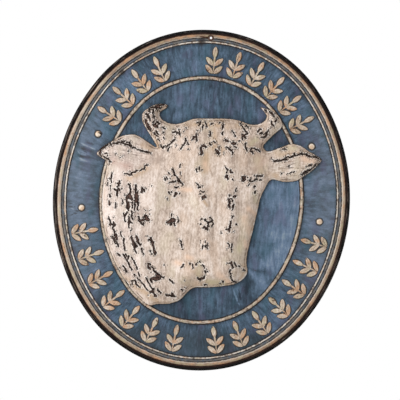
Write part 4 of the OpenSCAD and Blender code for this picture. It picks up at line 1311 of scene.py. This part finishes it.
def build_head(material):
    points, depths, faces, edges = front_net()
    seat = head_seat(points, depths)
    height = np.minimum(head_height(points, depths), tallest_head - seat)
    front = np.column_stack([points, seat + height + SHELL_T])

    rim = sorted({p for edge in edges for p in edge})
    place_in_rim = {p: k for k, p in enumerate(rim)}
    rim_sides = [(place_in_rim[a], place_in_rim[b]) for a, b in edges]
    flat, flat_depth, back_faces = back_net(points[rim], rim_sides)
    flat_seat = head_seat(flat, flat_depth)
    back_height = np.maximum(head_height(flat, flat_depth) - BACK_DROP, 0)
    back_height = np.minimum(back_height, tallest_head - flat_seat - BACK_DROP)
    back = np.column_stack([flat, flat_seat + back_height])
    back[: len(rim), 2] = seat[rim]
    total = len(points)
    faces += [[total + p for p in face] for face in back_faces]
    faces += [[b, a, total + i, total + j] for (a, b), (i, j) in zip(edges, rim_sides)]

    def with_back(values, behind=0.0):
        return np.concatenate([values, np.full(len(flat), behind)])

    seen = points * (1 + (front[:, 2:] - wall_y) / CAMERA_OFF)
    chipped, worn = chip_fields(seen)
    return new_piece(
        "raised_head", np.vstack([front, back]), faces, material, sharp_angle=50,
        depth=with_back(depths), chip=with_back(chipped, -CHIP_REACH), worn=with_back(worn),
        **{name: with_back(tone_field(seen, strokes)) for name, strokes in cream_tones.items()},
    )


raised_head = build_head(head_paint())
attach(raised_head, "root")
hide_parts("cow_head")


# The eyelet: rolled from thin steel, set from the front and clinched over behind, and rusty
# from the nail that it hangs on.
EYELET_RUSTS = [(38, 27, 24), (80, 53, 40), (140, 100, 74)]
BORE_R, BARREL_R = 2.4, 3.0
FLANGE_T = 0.5
eyelet_low, eyelet_high = box_mm("hanging_eyelet")
front_z, back_z = wall_y - eyelet_low.y, wall_y - eyelet_high.y
front_r = eyelet_high.x
back_r = front_r - 1

# Radius and height of each corner, from the bore's back round the barrel to the bore's front
eyelet_profile = [
    (BORE_R, back_z + 0.25), (BORE_R + 0.1, back_z), (back_r - 0.25, back_z), (back_r, back_z + 0.2),
    (back_r - 0.1, back_z + 0.48), (BARREL_R, back_z + FLANGE_T), (BARREL_R, front_z - FLANGE_T),
    (front_r - 0.1, front_z - FLANGE_T), (front_r, front_z - 0.3), (front_r - 0.3, front_z - 0.06),
    (front_r - 1.1, front_z), (BORE_R + 0.8, front_z - 0.02), (BORE_R + 0.2, front_z - 0.2),
    (BORE_R, front_z - 0.5),
]


def rusty_steel():
    paint = Paint("rusted_eyelet")
    grain = paint.noise(700, 4, 0.65)
    shade = paint.ramp(grain, (0.35, 0.52, 0.68), EYELET_RUSTS)
    return paint.finish(shade, paint.spread(grain, 0.3, 0.7, 0.6, 0.85), grain, 0.0003, metal=0.3)


eyelet = lathe("rolled_eyelet", eyelet_profile, (0, hole_y), rusty_steel(), closed=True)
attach(eyelet, "root")
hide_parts("hanging_eyelet")


# The studs: four small round-topped bosses in the band, where its motifs begin and end. Their
# cream paint is left on the crown, and the shoulder and the foot are dark: painted shade, with the
# paint gone from the shoulder.
STUD_CREAM, STUD_TAN, STUD_RUST = (222, 206, 188), (190, 150, 112), (92, 62, 46)
STUD_TURNS = 40

# A dark scratch across the upper left stud: middle, half length, half width and lean
SCRATCH_DARK = (46, 31, 25)
SCRATCH = (-214, 124, 6.5, 1.7, -28)

# The foot's rings, how far outside the stud and how high over the plate, and the turns up the
# dome from its side to the small flat at its top
FOOT_RINGS = [(1.3, 0.02), (1.1, 0.12), (0.4, 0.3)]
dome_turns = np.linspace(0.1, math.pi / 2 - 0.12, 9)


def stud_paint():
    paint = Paint("rubbed_cream_studs")
    grain = paint.noise(260, 4, 0.62)
    shade = paint.mix(paint.spread(paint.noise(95, 3, 0.6), 0.48, 0.62, 0, 0.6), STUD_CREAM, STUD_TAN)
    shade = paint.mix(paint.spread(grain, 0.58, 0.70, 0, 0.85), shade, STUD_RUST)
    shade = paint.mix(paint.spread(paint.spot(*SCRATCH), 1.15, 0.75), shade, SCRATCH_DARK)
    # Dark round the foot and up the shoulder: painted shade, with the paint gone
    out = paint.sum(paint.attribute("out"), paint.jitter(grain, 0.08))
    shade = paint.mix(paint.spread(out, 0.87, 0.98, 0, 0.92), shade, DARK_LINE)
    return paint.finish(shade, paint.spread(grain, 0.3, 0.7, 0.55, 0.78), grain, 0.0005, gloss=0.3)


stud_cream = stud_paint()
for node in STUDS:
    low, high = box_mm(node)
    stud_r, stud_h = (high.x - low.x) / 2, high.y - low.y
    profile = [(stud_r + wider, plate_front + up) for wider, up in FOOT_RINGS]
    for turn in dome_turns:
        profile.append((stud_r * math.cos(turn), plate_front + stud_h * math.sin(turn) ** 0.7))
    name = "stud_" + node.removeprefix("boss_")
    out = np.repeat([r / stud_r for r, _ in profile], STUD_TURNS)
    stud = lathe(name, profile, middle_of(node), stud_cream, closed=False, turns=STUD_TURNS, out=out)
    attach(stud, "root")
    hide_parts(node)


# The sprigs: each a stem with two pairs of leaves and a leaf at its tip, raised from the band.
# A tree of geometry nodes sets copies of one leaf along the stem and joins them.
SPRIG_H = 57.0
LEAF_H, LEAF_W = 25.0, 10.0
LEAF_ROWS = 18
LEAF_LEAN = math.radians(45)
LEAF_PAIRS = 2
LEAF_PITCH = (SPRIG_H - LEAF_H) / LEAF_PAIRS
STEM_W, STEM_SHARE, STEM_RELIEF = 4.0, 0.89, 0.82
TRIM_RUST = (78, 50, 38)

# Half a leaf's section, from its rolled edge to the furrow in its middle: how far out, as a
# share of half the leaf's width there, and how high. The leaf has its full height where half
# its width is at least this.
LEAF_SECTION = [
    (1.38, 0), (1.35, 0.3), (1.1, 0.5), (0.97, 1.0), (0.86, 2.1), (0.7, 2.6), (0.3, 2.5), (0.1, 2.4),
    (0, 1.8),
]
FULL_HEIGHT_FROM = 1.6

# Where each stretch of sprigs begins and ends, in degrees, and how many it holds
stretches = {
    "upper_left": (111.3, 154.4, 4), "upper_right": (26.7, 93.4, 6), "lower_left": (189.2, 266.6, 7),
    "lower_right": (275.2, 351.3, 7),
}


def trim_paint():
    paint = Paint("worn_cream_trim")
    grain = paint.streaks((300, 300, 150), 4, 0.62)
    patches = paint.noise(55, 3, 0.6)
    tone = paint.weighted((grain, 0.55), (paint.noise(36, 3, 0.6), 0.45))
    shade = paint.ramp(tone, (0.36, 0.44, 0.53, 0.62), CREAMS)
    shade = paint.mix(paint.spread(patches, 0.50, 0.62, 0, 0.6), shade, TAN)
    shade = paint.mix(paint.spread(patches, 0.46, 0.36, 0, 0.5), shade, OLIVE)
    shade = paint.mix(paint.spread(paint.noise(125, 3, 0.65), 0.60, 0.68, 0, 0.85), shade, TRIM_RUST)
    # A dark line round each sprig's foot: painted shade
    off_wall = paint.product(paint.part(paint.place, 1), -1000)
    over_plate = paint.sum(off_wall, wall_y - plate_front, paint.jitter(grain, 0.4))
    shade = paint.mix(paint.spread(over_plate, 1.6, 0.9, 0, 0.94), shade, DARK_LINE)
    return paint.finish(shade, paint.spread(grain, 0.3, 0.7, 0.55, 0.78), grain, 0.0006, gloss=0.3)


def leaf_mesh():
    """One leaf that stands on the origin, its ribs pressed in and its edge rolled down."""
    section = [(-u, z) for u, z in LEAF_SECTION] + LEAF_SECTION[-2::-1]
    arc_r = (LEAF_H**2 + LEAF_W**2) / (4 * LEAF_W)
    points, faces = [(0, 0, 0)], []
    for y in np.linspace(0, LEAF_H, LEAF_ROWS + 1)[1:-1]:
        half = math.sqrt(arc_r**2 - (y - LEAF_H / 2) ** 2) - (arc_r - LEAF_W / 2)
        rise = min(1.0, half / FULL_HEIGHT_FROM)
        points += [(u * half, y, z * rise) for u, z in section]
    n, tip = len(section), len(points)
    points.append((0, LEAF_H, 0))
    for a in range(1, tip - n, n):
        b = a + n
        faces += [[a + k, a + k + 1, b + k + 1, b + k] for k in range(n - 1)]
        faces.append([a, b, b + n - 1, a + n - 1])
    faces += [[0, 2 + k, 1 + k] for k in range(n - 1)] + [[0, 1, n]]
    last = tip - n
    faces += [[tip, last + k, last + k + 1] for k in range(n - 1)] + [[tip, last + n - 1, last]]
    mesh = bpy.data.meshes.new("leaf")
    mesh.from_pydata((np.array(points) / 1000).tolist(), [], faces)
    mesh.validate()
    return mesh


def sprig_tree(material):
    """The nodes that make a sprig of the leaf. Their sizes come from the modifier's settings."""
    tree = bpy.data.node_groups.new("sprig", "GeometryNodeTree")
    tree.is_modifier = True
    tree.interface.new_socket("Geometry", in_out="OUTPUT", socket_type="NodeSocketGeometry")
    for name, kind in (
        ("Geometry", "Geometry"), ("Leaf Pairs", "Int"), ("Pitch", "Float"), ("Lean", "Float"),
        ("Stem Width", "Float"), ("Stem Length", "Float"), ("Turn", "Float"), ("Place", "Vector"),
    ):
        tree.interface.new_socket(name, in_out="INPUT", socket_type="NodeSocket" + kind)

    def node(kind, inputs, **settings):
        made = tree.nodes.new(kind)
        for key, value in settings.items():
            setattr(made, key, value)
        for key, value in inputs.items():
            for one in value if isinstance(value, list) else [value]:
                if isinstance(one, bpy.types.NodeSocket):
                    tree.links.new(one, made.inputs[key])
                else:
                    made.inputs[key].default_value = one
        return made.outputs[0]

    def vector(**parts):
        return node("ShaderNodeCombineXYZ", parts)

    def times(a, b):
        return node("ShaderNodeMath", {0: a, 1: b}, operation="MULTIPLY")

    def moved(geometry, **moves):
        return node("GeometryNodeTransform", {"Geometry": geometry, **moves})

    source = tree.nodes.new("NodeGroupInput").outputs
    leaf, pitch, pairs, lean = (source[name] for name in ("Geometry", "Pitch", "Leaf Pairs", "Lean"))
    stem_points = node("GeometryNodeMeshLine", {"Count": pairs, "Offset": vector(Y=pitch)})
    both_sides = [
        node("GeometryNodeInstanceOnPoints", {"Points": stem_points, "Instance": leaf, "Rotation": turn})
        for turn in (vector(Z=lean), vector(Z=times(lean, -1.0)))
    ]
    tip = moved(leaf, Translation=vector(Y=times(pitch, pairs)))
    stem_size = vector(X=source["Stem Width"], Y=source["Stem Length"], Z=STEM_RELIEF)
    parts = [*both_sides, tip, moved(leaf, Scale=stem_size)]
    joined = node("GeometryNodeMeshBoolean", {1: parts}, operation="UNION", solver="MANIFOLD")
    turned = moved(joined, Rotation=vector(Z=source["Turn"]))
    stood = moved(turned, Rotation=(math.pi / 2, 0, 0), Translation=source["Place"])
    real = node("GeometryNodeRealizeInstances", {0: stood})
    painted = node("GeometryNodeSetMaterial", {"Geometry": real, "Material": material})
    tree.links.new(painted, tree.nodes.new("NodeGroupOutput").inputs[0])
    return tree


def band_lengths():
    """Length along the middle of the band up to each angle, in small steps from the right."""
    angle = np.radians(np.linspace(0, 360, 7201))
    line = oval_line(angle, band_mid)
    return angle, np.concatenate([[0], np.cumsum(np.hypot(*np.diff(line, axis=0).T))])


leaf = leaf_mesh()
tree = sprig_tree(trim_paint())
sockets = {item.name: item.identifier for item in tree.interface.items_tree if item.in_out == "INPUT"}


def grown_sprig(facing):
    """The mesh of one sprig, in the middle of the band and across it, with its tip upwards."""
    turn = facing - math.pi / 2 if math.sin(facing) > 0 else facing + math.pi / 2
    up = np.array([-math.sin(turn), math.cos(turn)])
    foot = oval_line(facing, band_mid) - up * SPRIG_H / 2
    maker = add_object("maker", leaf)
    grow = maker.modifiers.new("grow", "NODES")
    grow.node_group = tree
    settings = {
        "Leaf Pairs": LEAF_PAIRS, "Pitch": LEAF_PITCH / 1000, "Lean": LEAF_LEAN,
        "Stem Width": STEM_W / LEAF_W, "Stem Length": STEM_SHARE * SPRIG_H / LEAF_H,
        "Turn": turn, "Place": stand_up([*foot, plate_front]).tolist(),
    }
    for name, value in settings.items():
        grow[sockets[name]] = value
    mesh = made_mesh(maker)
    bpy.data.objects.remove(maker)
    return mesh


band_angle, band_length = band_lengths()
for stretch, (start, stop, count) in stretches.items():
    start_length, stop_length = np.interp(np.radians([start, stop]), band_angle, band_length)
    for i in range(count):
        length = start_length + (i + 0.5) * (stop_length - start_length) / count
        mesh = grown_sprig(np.interp(length, band_length, band_angle))
        name = f"{stretch}_{i + 1}"
        mesh.name = "raised_sprig_" + name
        mesh.shade_smooth()
        mesh.set_sharp_from_angle(angle=math.radians(38))
        sprig = add_object(mesh.name, mesh)
        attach(sprig, "root")
        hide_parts("sprig_" + name)


# The studio: a pale floor below the sign, white all round, and soft light from the upper left.
FLOOR_GREY = (236, 236, 234)
FLOOR_LEFT, FLOOR_RIGHT, FLOOR_NEAR, FLOOR_FAR, FLOOR_Z = -6, 6, -8, 0.8, -0.98
pale_floor = bpy.data.materials.new("pale_floor")
pale_floor.use_nodes = True
floor_shader = pale_floor.node_tree.nodes["Principled BSDF"].inputs
floor_shader["Base Color"].default_value = (*colour(FLOOR_GREY), 1)
floor_shader["Roughness"].default_value = 0.9
floor_mesh = bpy.data.meshes.new("floor")
floor_corners = [
    (FLOOR_LEFT, FLOOR_NEAR, FLOOR_Z), (FLOOR_RIGHT, FLOOR_NEAR, FLOOR_Z),
    (FLOOR_RIGHT, FLOOR_FAR, FLOOR_Z), (FLOOR_LEFT, FLOOR_FAR, FLOOR_Z),
]
floor_mesh.from_pydata(floor_corners, [], [(0, 1, 2, 3)])
floor_mesh.materials.append(pale_floor)
floor = add_object("floor", floor_mesh)
floor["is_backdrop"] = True

# The camera sees pure white all round, and the sign is lit by a dimmer white
ROUND_LIGHT = 0.52
world = bpy.data.worlds.new("white_studio")
world.use_nodes = True
bpy.context.scene.world = world
sky = world.node_tree
sky.nodes.clear()
seen, lighting = (sky.nodes.new("ShaderNodeBackground") for _ in range(2))
lighting.inputs["Strength"].default_value = ROUND_LIGHT
seen.inputs["Color"].default_value = lighting.inputs["Color"].default_value = (1, 1, 1, 1)
rays = sky.nodes.new("ShaderNodeLightPath")
choice = sky.nodes.new("ShaderNodeMixShader")
sky_out = sky.nodes.new("ShaderNodeOutputWorld")
sky.links.new(rays.outputs["Is Camera Ray"], choice.inputs[0])
sky.links.new(lighting.outputs[0], choice.inputs[1])
sky.links.new(seen.outputs[0], choice.inputs[2])
sky.links.new(choice.outputs[0], sky_out.inputs["Surface"])

sign_middle = Vector((0, 0, middle_z / 1000))


def soft_light(name, place, size, power):
    lamp = bpy.data.lights.new(name, "AREA")
    lamp.shape, lamp.size, lamp.energy = "DISK", size, power
    light = add_object(name, lamp)
    light.location = place
    light.rotation_mode = "QUATERNION"
    light.rotation_quaternion = (sign_middle - light.location).to_track_quat("-Z", "Y")


soft_light("key_light", (-2.2, -1.9, 0.65), 0.9, 72)
soft_light("fill_light", (1.6, -2.0, -0.2), 1.6, 6)

# The sign fills the frame as in the photograph, rolled a little clockwise on its nail.
FRAME_PX = 400
SIGN_PX_HIGH = 341.1
SIGN_PX_AT = (201.4, 200.15)
SIGN_ROLL = math.radians(3.37)
LENS, SENSOR = 85.0, 36.0
metres_per_px = 2 * half_h / 1000 / SIGN_PX_HIGH
distance = FRAME_PX * metres_per_px / 2 / (SENSOR / 2 / LENS)
camera = add_object("camera", bpy.data.cameras.new("camera"))
camera.data.lens, camera.data.sensor_width = LENS, SENSOR
turn = Matrix.Rotation(math.pi / 2, 4, "X") @ Matrix.Rotation(SIGN_ROLL, 4, "Z")
aside = Vector((FRAME_PX / 2 - SIGN_PX_AT[0], SIGN_PX_AT[1] - FRAME_PX / 2, 0)) * metres_per_px
camera_at = sign_middle + Vector((0, -distance, 0)) + turn.to_3x3() @ aside
camera.matrix_world = Matrix.Translation(camera_at) @ turn
bpy.context.scene.camera = camera
bpy.context.scene.view_settings.view_transform = "Standard"

low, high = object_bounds()
